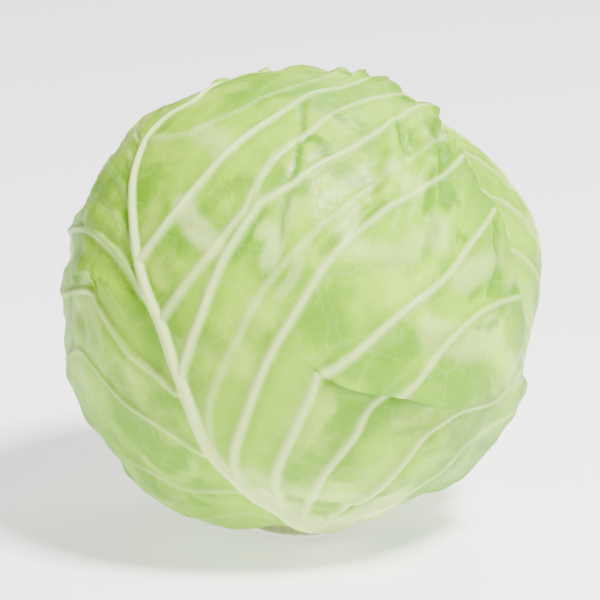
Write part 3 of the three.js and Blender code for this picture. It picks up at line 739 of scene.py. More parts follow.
    def faces_at(self, side: str, along: Array, out: Array) -> dict[str, Array]:
        """Works out the blade at places of a side.

        The blade's radius is the pressed radius plus the relief where it is bare. The ribs stand on the outer
        face alone, and the inner face lies the leaf's thickness below the blade.

        Args:
            side: right or left.
            along: places along the midrib.
            out: shares of the way out.

        Returns:
            The outer and inner points, and for each how much of a vein, a vein's foot (where shade is
            painted), the margin, a pale line (paler veins and painted sheen) and a green line (greener patches
            and painted shade in creases) it is.
        """
        leaf = self.leaf
        towards = leaf.chart.directions(leaf.point_on(side, along, out))
        spread = towards if leaf.pleat is None else leaf.pleat.pulled_over(towards)
        bare = self.bareness(towards)
        rib, pale, foot = leaf.rib_height(towards)
        rib = bare * rib * (1 - 0.9 * smooth(RIBS_END_FROM, 1.0, out))
        blade = pressed_radius(towards, self.covers) + bare * self.relief(side, along, out, towards)
        thickness = LEAF_THICKNESS + (MARGIN_THICKNESS - LEAF_THICKNESS) * smooth(THIN_FROM, 1.0, out)
        return {
            "outer": spread * (blade + rib)[..., None],
            "inner": spread * (blade - thickness)[..., None],
            "vein": np.maximum(pale, strongest(leaf.white_lines, towards)),
            # foot: painted shade round the veins' feet
            "foot": foot,
            "margin": smooth(MARGIN_FROM, 1.0, out),
            # pale: paler veins, and painted sheen on the glossy parts
            "pale": strongest(leaf.pale_and_sheen_lines, towards),
            # green: greener patches, and painted shade in creases
            "green": strongest(leaf.green_and_crease_shade_lines, towards),
        }

    def build(self) -> bpy.types.Object:
        """Builds the leaf's object, with the attributes that its material reads.

        Returns:
            One closed shell: the outer face, the inner face turned round, and a wall along the margin.
        """
        crest_places = np.linspace(0, 1, CREST_PLACES)
        crest = self.faces_at("right", crest_places, np.zeros_like(crest_places))
        parts = [crest]
        first = len(crest_places)
        crest_ids = np.arange(first)
        quads, triangles, walls = [], [], []
        for side in ("right", "left"):
            outs = self.columns(side)
            places = np.stack([self.row_places(side, outs[i])[i] for i in range(len(outs))])
            grid = self.faces_at(side, places, outs)
            ids = first + np.arange(places.size).reshape(places.shape)
            parts.append({key: value.reshape((-1,) + value.shape[2:]) for key, value in grid.items()})
            first += places.size
            patch = np.stack([ids[:-1, :-1], ids[:-1, 1:], ids[1:, 1:], ids[1:, :-1]], axis=-1)
            patch = patch.reshape(-1, 4)
            sewn = self.sew(crest_places, crest_ids, places[:, 0], ids[:, 0])
            edge = np.concatenate([crest_ids[:1], ids[0], ids[1:, -1]])
            if side == "left":
                patch, sewn, edge = patch[:, ::-1], sewn[:, ::-1], edge[::-1]
            quads.append(patch)
            triangles.append(sewn)
            walls.append(np.stack([edge[:-1], edge[:-1], edge[1:], edge[1:]], axis=-1))
        merged = {key: np.concatenate([part[key] for part in parts]) for key in parts[0]}
        count = first
        quad, triangle, wall = np.vstack(quads), np.vstack(triangles), np.vstack(walls)
        wall[:, 1:3] += count
        all_quads = np.vstack([quad, quad[:, ::-1] + count, wall])
        all_triangles = np.vstack([triangle, triangle[:, ::-1] + count])
        vertices = (np.vstack([merged["outer"], merged["inner"]]) + HEAD_CENTRE) * MM
        values = {key: np.tile(merged[key], 2) for key in merged if key not in ("outer", "inner")}
        return make_mesh(self.leaf.name + "_skin", vertices, all_quads, all_triangles, values)

    @staticmethod
    def sew(places_a: Array, ids_a: Array, places_b: Array, ids_b: Array) -> Array:
        """Sews two lines of vertices with triangles, and takes the nearer next place each time.

        Args:
            places_a: places along the first line.
            ids_a: its vertex numbers.
            places_b: places along the second line.
            ids_b: its vertex numbers.

        Returns:
            Three vertex numbers a triangle.
        """
        place = np.concatenate([places_a[1:], places_b[1:]])
        on_a = np.concatenate([np.ones(len(places_a) - 1, bool), np.zeros(len(places_b) - 1, bool)])
        order = np.argsort(place, kind="stable")
        on_a = on_a[order]
        i = np.cumsum(on_a) - on_a
        j = np.cumsum(~on_a) - ~on_a
        next_a, next_b = np.minimum(i + 1, len(ids_a) - 1), np.minimum(j + 1, len(ids_b) - 1)
        following = np.where(on_a, ids_a[next_a], ids_b[next_b])
        return np.stack([ids_a[i], ids_b[j], following], axis=-1)


def make_mesh(
    name: str, vertices: Array, quads: Array, triangles: Array, values: dict[str, Array]
) -> bpy.types.Object:
    """Makes a smooth mesh object in the scene.

    Args:
        name: the object's name.
        vertices: points in metres.
        quads: four vertex numbers a face.
        triangles: three vertex numbers a face.
        values: numbers for each vertex, kept as attributes.

    Returns:
        The object, with coincident vertices merged.
    """
    mesh = bpy.data.meshes.new(name)
    mesh.vertices.add(len(vertices))
    mesh.vertices.foreach_set("co", vertices.astype(np.float32).ravel())
    loops = np.concatenate([quads.ravel(), triangles.ravel()])
    mesh.loops.add(len(loops))
    mesh.loops.foreach_set("vertex_index", loops.astype(np.int32))
    sizes = np.concatenate([np.full(len(quads), 4), np.full(len(triangles), 3)])
    mesh.polygons.add(len(sizes))
    mesh.polygons.foreach_set("loop_start", np.concatenate([[0], np.cumsum(sizes)[:-1]]).astype(np.int32))
    mesh.polygons.foreach_set("use_smooth", np.ones(len(sizes), bool))
    mesh.update(calc_edges=True)
    for key, value in values.items():
        mesh.attributes.new(key, "FLOAT", "POINT").data.foreach_set("value", value.astype(np.float32))
    cleaned = bmesh.new()
    cleaned.from_mesh(mesh)
    bmesh.ops.remove_doubles(cleaned, verts=cleaned.verts, dist=WELD_DISTANCE)
    cleaned.to_mesh(mesh)
    cleaned.free()
    mesh.validate()
    thing = bpy.data.objects.new(name, mesh)
    bpy.context.scene.collection.objects.link(thing)
    return thing


# A pattern leaf's side veins: their number, and the rises in degrees of the margin's corner and of their ends.
VEINS_A_SIDE = 8
LOWER_CORNER = -70.0
LOWEST_VEIN_END = -58.0
HIGHEST_VEIN_END = 84.0

# The columns' shares of the way out, closest at the midrib.
PATTERN_COLUMNS = (0.025, 0.06, 0.13, 0.24, 0.37, 0.51, 0.65, 0.79, 0.91, 1.0)
FRONT_COLUMNS = (0.02, 0.045, 0.09, 0.17, 0.27, 0.38, 0.49, 0.6, 0.7, 0.8, 0.89, 0.95, 1.0)


@dataclass(frozen=True)
class LeafPattern:
    """A wrapper leaf of the common pattern, drawn on a chart round its own middle, in degrees.

    The class's own numbers are shares: of the top where the midrib forks, of the midrib where the last side
    vein leaves it, of the ring's reach where its points lie, and of a side vein's span for its arch and pull.
    """

    name: str
    azimuth: float
    elevation: float
    stem: float
    half_width: float
    top: float
    bottom: float
    bend: float
    waves: Waves
    seams: tuple[tuple[Points, float, float], ...] = ()
    left_paleness: float = 1.0

    FORK: ClassVar[float] = 0.62
    MIDRIB_END: ClassVar[float] = 0.93
    OFFSET_OF_SIDES: ClassVar[float] = 0.018
    RING_REACH: ClassVar[float] = 42.0
    RING_SHARES: ClassVar[tuple[float, ...]] = (0.4, 0.8, 1.15)
    ARCH: ClassVar[float] = 0.42
    PULL_TO_END: ClassVar[float] = 0.12

    def on_margin(self, sign: int, rise: float) -> Array:
        """Gives the margin's point at a rise from the leaf's middle, in degrees from -90 to 90."""
        a = math.radians(rise)
        reach = self.top if rise > 0 else self.bottom
        return np.array([sign * self.half_width * math.cos(a) ** 0.8 + self.bend * 0.4, reach * math.sin(a)])

    def leaf(self) -> Leaf:
        """Draws the leaf: side veins leave the midrib in turn, run up with it, and arch to the margin."""
        chart = Chart(direction(self.azimuth, self.elevation), UP)

        def on_ring(azimuth: float) -> Array:
            """Gives the chart point of the ring round the stump."""
            return chart.points(direction(azimuth, RING_ANGLE - 90))

        start = on_ring(self.stem)
        fork = np.array([self.bend, self.top * self.FORK])
        midway = (start + fork) / 2 + [self.bend * 0.9, 0]
        midrib = np.array([start, (start + midway) / 2 + [self.bend * 0.35, 0], midway, fork])
        spine = Curve(midrib)
        tip = np.array([self.bend * 0.7, self.top])

        def side(sign: int) -> SideVeins:
            """Draws the side veins of one side, from the lower edge up to the midrib's own end."""
            ring = [on_ring(self.stem + sign * self.RING_REACH * t) for t in self.RING_SHARES]
            corner = self.on_margin(sign, LOWER_CORNER)
            veins: SideVeins = [(0.0, np.array([*ring, (ring[2] + corner) / 2, corner]), 0.0)]
            for k in range(1, VEINS_A_SIDE + 1):
                share = k / (VEINS_A_SIDE + 1)
                place = share**1.25 * self.MIDRIB_END + (self.OFFSET_OF_SIDES if sign > 0 else 0)
                rise = LOWEST_VEIN_END + (HIGHEST_VEIN_END - LOWEST_VEIN_END) * share**0.92
                end = self.on_margin(sign, rise)
                root = spine.at(np.array(place))
                lift = spine.tangent(np.array(place)) * np.linalg.norm(end - root) * self.ARCH
                control = (root + lift) * (1 - self.PULL_TO_END) + end * self.PULL_TO_END
                t = np.array([0.25, 0.5, 0.75, 1.0])[:, None]
                veins.append((place, (1 - t) ** 2 * root + 2 * t * (1 - t) * control + t * t * end, 1.0))
            veins.append((1.0, np.array([(fork + tip) / 2, tip]), 0.8))
            return veins

        return Leaf(
            name=self.name,
            chart=chart,
            midrib_points=midrib,
            veins={"right": side(1), "left": side(-1)},
            ribs=Ribs(base_width=9, base_height=3.4, width=3, height=1.9),
            waves=self.waves,
            columns=PATTERN_COLUMNS,
            folds=tuple(Gather(*seam) for seam in self.seams),
            left_paleness=self.left_paleness,
        )


# Seams of the right leaf, in the picture: points, rise, and half width.
RIGHT_SEAMS = (
    (((446, 149), (462, 138)), -1.5, 2.6),
    (((488, 196), (511, 185)), -1.5, 2.6),
    (((506, 244), (536, 225)), -1.5, 2.6),
)
PATTERNS = (
    LeafPattern(
        name="right_leaf",
        azimuth=84,
        elevation=4,
        stem=84,
        half_width=82,
        top=84,
        bottom=70,
        bend=8,
        waves=Waves(rise=3, count=7, phase=0.3),
        seams=RIGHT_SEAMS,
        left_paleness=0.5,
    ),
    LeafPattern(
        name="rear_left_leaf",
        azimuth=228,
        elevation=6,
        stem=220,
        half_width=78,
        top=82,
        bottom=70,
        bend=10,
        waves=Waves(rise=3.4, count=7, phase=0.6),
    ),
    LeafPattern(
        name="rear_leaf",
        azimuth=158,
        elevation=14,
        stem=152,
        half_width=74,
        top=74,
        bottom=76,
        bend=8,
        waves=Waves(rise=3, count=6, phase=0.2),
    ),
)

# The steps along the front midrib where a side vein can start.
MIDRIB_STEPS = 400

# The front leaf's midrib and side veins in the picture, in pixels, each vein with its strength.
FRONT_MIDRIB = (
    (336, 543), (318, 533), (300, 522), (278, 510), (257, 498), (236, 480), (217, 461), (203, 439),
    (192, 412), (182, 385), (171, 356), (162, 327), (149, 298), (139, 265), (134, 233), (132, 201),
    (133, 178), (138, 158), (146, 139), (158, 124), (175, 110), (197, 97), (215, 75), (235, 50),
)  # fmt: skip

FRONT_RIGHT_VEINS = (
    (((353, 552), (372, 562), (402, 545), (430, 522), (456, 503)), 0),
    (((326, 538), (350, 520), (389, 501), (412, 491), (440, 474), (463, 448), (483, 431), (504, 414),
      (518, 404)), 0.8),
    (((313, 530), (335, 516), (364, 503), (389, 480), (412, 453), (421, 439), (437, 426), (463, 410),
      (496, 400), (510, 381), (522, 366)), 0.9),
    (((299, 521), (309, 506), (319, 482), (332, 464), (356, 434), (364, 415), (378, 398), (412, 380),
      (432, 359), (453, 337), (477, 314), (494, 303), (514, 296)), 0.9),
    (((285, 514), (275, 484), (281, 460), (297, 424), (311, 394), (318, 375), (335, 367), (361, 348),
      (389, 324), (415, 303), (447, 276), (466, 248), (478, 230), (488, 212)), 1),
    (((248, 491), (233, 464), (240, 432), (252, 396), (265, 364), (283, 332), (303, 300), (325, 265),
      (348, 240), (388, 209), (422, 190), (448, 172), (460, 158)), 1),
    (((212, 454), (208, 425), (209, 402), (222, 369), (240, 332), (254, 303), (285, 262), (330, 218),
      (380, 180), (422, 152), (444, 138)), 0.45),
    (((180, 380), (186, 356), (198, 324), (211, 288), (230, 248), (249, 219), (260, 203), (286, 189),
      (316, 166), (356, 146), (391, 122), (415, 110), (432, 110)), 1),
    (((160, 322), (180, 292), (205, 260), (230, 228), (247, 207), (259, 179), (276, 155), (310, 130),
      (332, 112), (356, 102), (380, 97), (404, 95)), 0.75),
    (((138, 262), (154, 241), (174, 214), (203, 179), (233, 146), (251, 131), (289, 106), (313, 90),
      (348, 84), (376, 78)), 1),
    (((146, 139), (166, 137), (186, 133), (205, 124), (225, 115), (243, 106), (262, 95), (290, 84),
      (330, 72), (348, 62)), 0.35),
    (((250, 42), (262, 30)), 0.8),
)  # fmt: skip

FRONT_LEFT_VEINS = (
    (((301, 536), (270, 545), (235, 556), (190, 554), (146, 548)), 0),
    (((300, 522), (272, 520), (241, 514), (209, 514), (185, 511), (155, 510), (120, 512)), 0.45),
    (((250, 493), (232, 491), (209, 491), (185, 487), (165, 477), (146, 466), (126, 455), (108, 446),
      (84, 450)), 0.7),
    (((214, 457), (193, 448), (178, 437), (158, 424), (139, 412), (123, 400), (109, 384), (96, 369),
      (80, 350), (60, 362)), 0.9),
    (((186, 396), (174, 390), (162, 378), (146, 365), (130, 353), (119, 338), (109, 322), (99, 305),
      (88, 290), (52, 296)), 0.9),
    (((150, 300), (142, 291), (133, 276), (122, 259), (107, 243), (95, 233), (80, 228), (52, 226)), 0.85),
    (((136, 250), (124, 228), (110, 210), (92, 196), (52, 186)), 0.3),
    (((132, 208), (122, 186), (108, 166), (88, 150), (60, 138)), 0.3),
    (((134, 172), (126, 152), (112, 132), (92, 112), (78, 96)), 0.3),
    (((143, 146), (136, 126), (126, 106), (104, 76)), 0.35),
    (((168, 116), (158, 96), (150, 76), (146, 48)), 0.35),
    (((250, 42), (262, 30)), 0.8),
)  # fmt: skip

# The front leaf's folds in the picture, in pixels.
FRONT_PLEAT = (
    (318, 370), (334, 379), (362, 385), (401, 388), (430, 395), (461, 397), (490, 391), (512, 380),
)  # fmt: skip
FRONT_TUCK = ((121, 304), (112, 291), (94, 278), (80, 277), (68, 288))
FRONT_HEEL = ((316, 536), (338, 534), (362, 525), (384, 512), (398, 498))
FRONT_GATHERS = (
    ((376, 232), (386, 196), (391, 160), (392, 124)),
    ((402, 236), (414, 200), (424, 160), (424, 122)),
    ((436, 246), (450, 216), (460, 186), (462, 160)),
)


# Creases of the blade, finer than the folds: points, rise, and half width.
FRONT_CREASES = (
    (((434, 142), (440, 160), (443, 182), (444, 206)), -1.6, 3.6),
    (((401, 115), (402, 134), (405, 152)), -1.6, 2.8),
    (((412, 132), (414, 148)), -1.2, 2.4),
    (((428, 180), (427, 196), (424, 212)), -1.3, 2.6),
    (((451, 184), (453, 206)), -1.0, 2.4),
    (((438, 206), (432, 232), (423, 255)), -1.2, 3.0),
    (((262, 213), (250, 231), (246, 243), (235, 257)), -1.3, 2.2),
    (((303, 101), (303, 116), (304, 130)), -0.8, 2.2),
    (((303, 136), (298, 158), (291, 180)), -0.8, 2.2),
    (((288, 195), (282, 219), (283, 240), (278, 259)), -1.0, 2.4),
    (((386, 203), (374, 208), (362, 214)), -0.9, 2.2),
    (((338, 240), (319, 257)), -0.9, 2.2),
    (((284, 497), (306, 505), (330, 509), (356, 509), (388, 499)), -1.6, 3.2),
    (((292, 516), (318, 523), (344, 522), (368, 514), (390, 503)), 2.4, 6.0),
    (((478, 328), (495, 321)), -1.2, 2.6),
    (((470, 299), (480, 289)), -0.9, 2.4),
    (((489, 226), (492, 254)), -1.3, 2.6),
    (((493, 268), (487, 294)), -1.2, 2.4),
    (((505, 292), (518, 276)), -1.2, 2.4),
    (((338, 244), (352, 214), (372, 196)), 0.9, 3.0),
    (((424, 210), (429, 175), (430, 146)), 1.2, 2.6),
    (((358, 236), (372, 216), (388, 206)), 0.9, 2.6),
    (((180, 214), (196, 222), (214, 232)), 0.6, 2.6),
    (((186, 240), (204, 246), (220, 250)), 0.6, 2.6),
)

# Lines of the picture that are greener or paler than the blade: points, half width in pixels, and strength.
# The green lines are partly the leaf's own greener patches and partly painted shade along creases, under the
# pleat's lip and in the pockets at the left edge.
FRONT_GREEN_AND_CREASE_SHADE = (
    (((302, 100), (303, 116), (304, 132)), 5.5, 0.8),
    (((301, 136), (298, 158), (294, 180)), 5.5, 1.0),
    (((306, 137), (318, 140), (326, 152)), 9, 0.9),
    (((335, 112), (343, 120)), 9, 0.9),
    (((357, 117), (365, 123)), 7, 0.6),
    (((288, 196), (284, 214), (281, 240)), 5.5, 0.8),
    (((262, 213), (252, 225), (247, 238), (235, 257)), 5.5, 1.0),
    (((238, 178), (248, 182), (256, 183)), 7, 0.8),
    (((206, 208), (222, 192), (236, 186)), 12, 0.6),
    (((434, 142), (440, 160), (443, 182), (444, 206)), 7, 1.0),
    (((428, 180), (427, 196), (424, 212)), 6, 0.9),
    (((456, 236), (462, 240)), 6, 0.9),
    (((489, 226), (492, 254)), 5.5, 0.9),
    (((493, 268), (487, 294)), 5.5, 0.9),
    (((505, 292), (518, 276)), 5.5, 0.8),
    (((526, 286), (527, 298)), 5.5, 0.9),
    (((478, 328), (495, 321)), 5.5, 0.9),
    (((470, 299), (480, 289)), 5.5, 0.7),
    (((415, 338), (440, 342), (460, 335)), 14, 0.4),
    (((385, 356), (410, 352)), 12, 0.5),
    (((398, 118), (401, 135), (405, 152)), 8, 1.0),
    (((410, 130), (413, 144)), 5.5, 1.0),
    (((424, 126), (428, 140), (426, 160)), 7, 0.8),
    (((430, 178), (432, 195), (426, 212)), 7, 0.9),
    (((434, 205), (432, 235), (424, 252)), 7, 0.6),
    (((384, 206), (374, 216), (364, 226)), 5.5, 0.7),
    (((338, 238), (322, 252)), 8, 0.5),
    (((330, 168), (350, 178), (372, 188)), 12, 0.55),
    (((441, 119), (432, 132), (437, 150)), 8, 1.0),
    (((444, 150), (447, 180), (452, 208)), 6, 0.9),
    (((462, 160), (478, 172)), 8, 0.9),
    (((488, 225), (492, 240)), 6, 0.8),
    (((330, 380), (345, 389), (380, 394), (430, 402), (480, 401)), 7, 1.0),
    (((288, 500), (312, 508), (340, 511), (364, 509), (386, 502)), 6, 0.5),
    (((330, 362), (360, 372), (396, 368)), 9, 0.5),
    (((81, 277), (72, 290), (70, 306)), 6, 1.0),
    (((70, 312), (74, 340), (71, 362)), 6, 1.0),
    (((518, 362), (525, 382)), 8, 0.9),
    (((480, 446), (498, 440)), 9, 1.0),
    (((428, 492), (446, 484), (462, 482)), 9, 1.0),
    (((310, 68), (340, 70), (372, 76)), 6, 0.8),
    (((404, 98), (420, 104), (440, 116)), 7, 0.8),
    (((350, 270), (390, 262), (410, 268)), 8, 0.4),
    (((210, 335), (222, 352)), 16, 0.5),
    (((250, 330), (262, 345)), 18, 0.4),
)
FRONT_WHITE = (
    (((258, 496), (292, 516), (318, 523), (344, 521), (368, 513), (392, 500)), 17, 1.0),
)
# The pale lines are partly paler veins and partly painted sheen on the glossy parts of the blade.
FRONT_PALE_AND_SHEEN = (
    (((303, 246), (294, 276), (278, 296)), 8, 0.5),
    (((182, 205), (196, 228), (214, 246)), 16, 0.9),
    (((352, 210), (344, 234)), 13, 0.8),
    (((289, 200), (287, 226)), 8, 0.6),
    (((392, 172), (412, 192)), 15, 0.6),
    (((256, 226), (276, 236), (268, 262)), 12, 0.7),
    (((432, 216), (440, 246)), 13, 0.6),
    (((352, 246), (396, 258), (418, 240)), 16, 0.5),
    (((430, 330), (470, 345), (490, 330)), 22, 0.5),
    (((200, 130), (225, 150)), 18, 0.5),
    (((460, 280), (490, 260)), 18, 0.5),
    (((250, 480), (300, 500), (360, 505)), 26, 0.5),
)


def front_leaf() -> Leaf:
    """Draws the front leaf from its veins in the picture."""
    midrib = seen(FRONT_MIDRIB)
    steps = Curve(midrib).at(np.linspace(0, 1, MIDRIB_STEPS + 1))

    def side(veins: Sequence[tuple[Points, float]]) -> SideVeins:
        """Finds each vein's start on the midrib; the first and the last start at its two ends."""
        made: SideVeins = []
        for k, (pixels, strength) in enumerate(veins):
            points = seen(pixels)
            if k in (0, len(veins) - 1):
                made.append((float(k > 0), points, strength))
            else:
                start = float(np.argmin(np.linalg.norm(steps - points[0], axis=1))) / MIDRIB_STEPS
                made.append((start, points[1:], strength))
        return made

    return Leaf(
        name="front_leaf",
        chart=PICTURE,
        midrib_points=midrib,
        veins={"right": side(FRONT_RIGHT_VEINS), "left": side(FRONT_LEFT_VEINS)},
        ribs=Ribs(base_width=10.5, base_height=4.6, width=3.4, height=2.2),
        waves=Waves(rise=3, count=8, phase=0.1, start=0.72),
        columns=FRONT_COLUMNS,
        folds=(
            Lap(FRONT_TUCK, peak=1.8, length=9, side=-1),
            Gather(FRONT_HEEL, peak=2.4, half_width=11),
            *(Gather(points, peak=3.2, half_width=5.2) for points in FRONT_GATHERS),
            *(Gather(*crease) for crease in FRONT_CREASES),
        ),
        pleat=Lap(FRONT_PLEAT, peak=3.6, length=22, side=1, blade_side="right", before=6, lip_half=0.012),
        left_paleness=0.5,
        pale_and_sheen_lines=(
            ShadeLine(FRONT_HEEL, half_width=22, strength=0.9),
            *(ShadeLine(*line) for line in FRONT_PALE_AND_SHEEN),
        ),
        green_and_crease_shade_lines=tuple(ShadeLine(*line) for line in FRONT_GREEN_AND_CREASE_SHADE),
        white_lines=tuple(ShadeLine(*line) for line in FRONT_WHITE),
    )


class NodeTree:
    """Short calls for building a shader."""

    def __init__(self, tree: bpy.types.NodeTree) -> None:
        """Empties the tree."""
        self.tree = tree
        tree.nodes.clear()

    def new(self, kind: str, **settings: object) -> bpy.types.Node:
        """Adds a node with settings."""
        node = self.tree.nodes.new(kind)
        for key, value in settings.items():
            setattr(node, key, value)
        return node

    def link(self, source: Socket, target: Socket) -> None:
        """Joins two sockets."""
        self.tree.links.new(source, target)

    @staticmethod
    def set(socket: Socket, value: object) -> None:
        """Gives a socket a constant value."""
        socket.default_value = value

    def noise(self, place: Socket, scale: float, detail: float) -> bpy.types.Node:
        """Adds a noise texture."""
        node = self.new("ShaderNodeTexNoise")
        self.set(node.inputs["Scale"], scale)
        self.set(node.inputs["Detail"], detail)
        self.link(place, node.inputs["Vector"])
        return node

    def attribute(self, name: str) -> Socket:
        """Reads a number that the mesh keeps for each vertex."""
        return self.new("ShaderNodeAttribute", attribute_name=name).outputs["Fac"]

    def ramp(self, factor: Socket, stops: tuple[Point, Point]) -> Socket:
        """Eases a value from one stop of (value, result) to another, and gives the result."""
        node = self.new("ShaderNodeMapRange", interpolation_type="SMOOTHSTEP")
        (low, low_result), (high, high_result) = stops
        self.set(node.inputs["From Min"], low)
        self.set(node.inputs["From Max"], high)
        self.set(node.inputs["To Min"], low_result)
        self.set(node.inputs["To Max"], high_result)
        self.link(factor, node.inputs["Value"])
        return node.outputs["Result"]

    def times(self, value: Socket, factor: float) -> Socket:
        """Multiplies a value by a constant."""
        node = self.new("ShaderNodeMath", operation="MULTIPLY")
        self.link(value, node.inputs[0])
        self.set(node.inputs[1], factor)
        return node.outputs[0]

    def sum(self, *values: Socket) -> Socket:
        """Adds values up."""
        total = values[0]
        for value in values[1:]:
            node = self.new("ShaderNodeMath", operation="ADD")
            self.link(total, node.inputs[0])
            self.link(value, node.inputs[1])
            total = node.outputs[0]
        return total

    def mix(self, factor: Socket, low: Socket | Colour, high: Socket | Colour) -> Socket:
        """Mixes two colours, each a socket or a constant, by a factor."""
        node = self.new("ShaderNodeMix", data_type="RGBA")
        self.link(factor, node.inputs[0])
        for socket, value in ((node.inputs[6], low), (node.inputs[7], high)):
            if isinstance(value, Socket):
                self.link(value, socket)
            else:
                self.set(socket, (*value, 1.0))
        return node.outputs[2]

    def bump(self, height: Socket, strength: float, distance: float) -> Socket:
        """Turns a height into a bumped normal, with the distance in metres."""
        node = self.new("ShaderNodeBump")
        self.set(node.inputs["Strength"], strength)
        self.set(node.inputs["Distance"], distance)
        self.link(height, node.inputs["Height"])
        return node.outputs["Normal"]

    def finish(self, shader: bpy.types.Node) -> None:
        """Joins the shader to the output."""
        self.link(shader.outputs[0], self.new("ShaderNodeOutputMaterial").inputs["Surface"])


@dataclass(frozen=True)
class LeafFinish:
    """A leaf's skin: pale waxy green between whitish veins, with a fine net of small veins, painted shade at
    the veins' feet and in creases, and painted sheen.
    """

    name: str
    blade: Colour
    # deep green of the random mottle, also the painted shade round the veins' feet
    deep_green_and_foot_shade: Colour
    pale: Colour
    vein: Colour
    # the greener colour of the margin, also the painted shade in creases, under the lip and in pockets
    lush_and_crease_shade: Colour = (0.10, 0.28, 0.0)
    roughness: float = 0.4
    roughness_range: float = 0.1
    branch_cells: float = 62.0
    branch_width: float = 0.05
    net_cells: float = 190.0
    net_width: float = 0.09
    patch_scale: float = 30.0
    cloud_scale: float = 44.0
    warp_scale: float = 45.0
    warp: float = 0.02
    wrinkle_scale: float = 130.0
    grain_scale: float = 700.0
    relief: float = 0.0006

    def material(self) -> bpy.types.Material:
        """Builds the material from the mesh's attributes and the object's own coordinates."""
        material = bpy.data.materials.new(self.name)
        material.use_nodes = True
        tree = NodeTree(material.node_tree)
        place = tree.new("ShaderNodeTexCoord").outputs["Object"]
        bent = self.bent(tree, place)
        branches = self.net(tree, bent, self.branch_cells, self.branch_width)
        net = self.net(tree, bent, self.net_cells, self.net_width)
        clouds = tree.noise(bent, self.cloud_scale, detail=3).outputs["Fac"]

        shader = tree.new("ShaderNodeBsdfPrincipled")
        tree.link(self.colour(tree, place, clouds, net, branches), shader.inputs["Base Color"])
        rough, glossy = self.roughness + self.roughness_range, self.roughness - self.roughness_range
        tree.link(tree.ramp(clouds, ((0.4, rough), (0.7, glossy))), shader.inputs["Roughness"])
        tree.set(shader.inputs["Subsurface Weight"], 0.1)
        tree.set(shader.inputs["Subsurface Radius"], (0.5, 0.8, 0.2))
        tree.set(shader.inputs["Subsurface Scale"], 0.002)
        tree.set(shader.inputs["Specular IOR Level"], 0.32)
        tree.set(shader.inputs["IOR"], 1.36)
        relief = tree.sum(
            tree.times(branches, 0.08),
            tree.times(net, 0.06),
            tree.times(tree.noise(place, self.grain_scale, detail=3).outputs["Fac"], 0.15),
            tree.times(tree.noise(place, self.wrinkle_scale, detail=4).outputs["Fac"], 1.2),
        )
        tree.link(tree.bump(relief, 0.7, self.relief), shader.inputs["Normal"])
        tree.finish(shader)
        return material

    def colour(self, tree: NodeTree, place: Socket, clouds: Socket, net: Socket, branches: Socket) -> Socket:
        """Lays the skin's colours over each other, each by its mask times its share.

        Args:
            tree: the material's nodes.
            place: the object's own coordinates.
            clouds: the noise of the paler clouds.
            net: the fine net's threads.
            branches: the coarse net's threads.

        Returns:
            The colour: mottled green, then the margin, the clouds, painted shade at the veins' feet, the pale
                lines with their
            painted sheen, the green lines with their painted crease shade, the two nets, and the veins on top.
        """
        patches = tree.noise(place, self.patch_scale, detail=4).outputs["Fac"]
        colour = tree.mix(tree.ramp(patches, ((0.44, 0.0), (0.62, 1.0))), self.blade, self.deep_green_and_foot_shade)
        layers = (
            (tree.attribute("margin"), 0.8, self.lush_and_crease_shade),
            (tree.ramp(clouds, ((0.5, 0.0), (0.66, 1.0))), 0.5, self.pale),
            # painted shade: the blade darkened round the veins' feet
            (tree.attribute("foot"), 0.4, self.deep_green_and_foot_shade),
            # paler veins, and painted sheen on the glossy parts
            (tree.attribute("pale"), 0.55, self.vein),
            # greener patches, and painted shade in creases, under the pleat's lip and in pockets
            (tree.attribute("green"), 0.95, self.lush_and_crease_shade),
            (net, 0.05, self.pale),
            (branches, 0.07, self.vein),
            (tree.attribute("vein"), 0.8, self.vein),
        )
        for mask, share, shade in layers:
            colour = tree.mix(tree.times(mask, share), colour, shade)
        return colour

    def bent(self, tree: NodeTree, place: Socket) -> Socket:
        """Bends the coordinates a little by a noise, so that no cell's border is straight."""
        noise = tree.noise(place, self.warp_scale, detail=3)
        node = tree.new("ShaderNodeMix", data_type="VECTOR")
        tree.set(node.inputs[0], self.warp)
        tree.link(place, node.inputs[4])
        tree.link(noise.outputs["Color"], node.inputs[5])
        return node.outputs[1]

    @staticmethod
    def net(tree: NodeTree, place: Socket, cells: float, width: float) -> Socket:
        """Draws a net of threads along the borders of cells."""
        node = tree.new("ShaderNodeTexVoronoi", feature="DISTANCE_TO_EDGE")
        tree.set(node.inputs["Scale"], cells)
        tree.link(place, node.inputs["Vector"])
        return tree.ramp(node.outputs["Distance"], ((0.0, 1.0), (width, 0.0)))


@dataclass(frozen=True)
class PlainFinish:
    """A plain skin with a faint mottle."""

    name: str
    colour: Colour
    mottle: Colour
    roughness: float
    mottle_scale: float = 320.0
    relief: float = 0.0004

    def material(self) -> bpy.types.Material:
        """Builds the material."""
        material = bpy.data.materials.new(self.name)
        material.use_nodes = True
        tree = NodeTree(material.node_tree)
        place = tree.new("ShaderNodeTexCoord").outputs["Object"]
        spots = tree.noise(place, self.mottle_scale, detail=5).outputs["Fac"]
        colour = tree.mix(tree.ramp(spots, ((0.4, 0.0), (0.7, 1.0))), self.colour, self.mottle)
        shader = tree.new("ShaderNodeBsdfPrincipled")
        tree.link(colour, shader.inputs["Base Color"])
        tree.set(shader.inputs["Roughness"], self.roughness)
        tree.link(tree.bump(spots, 0.4, self.relief), shader.inputs["Normal"])
        tree.finish(shader)
        return material


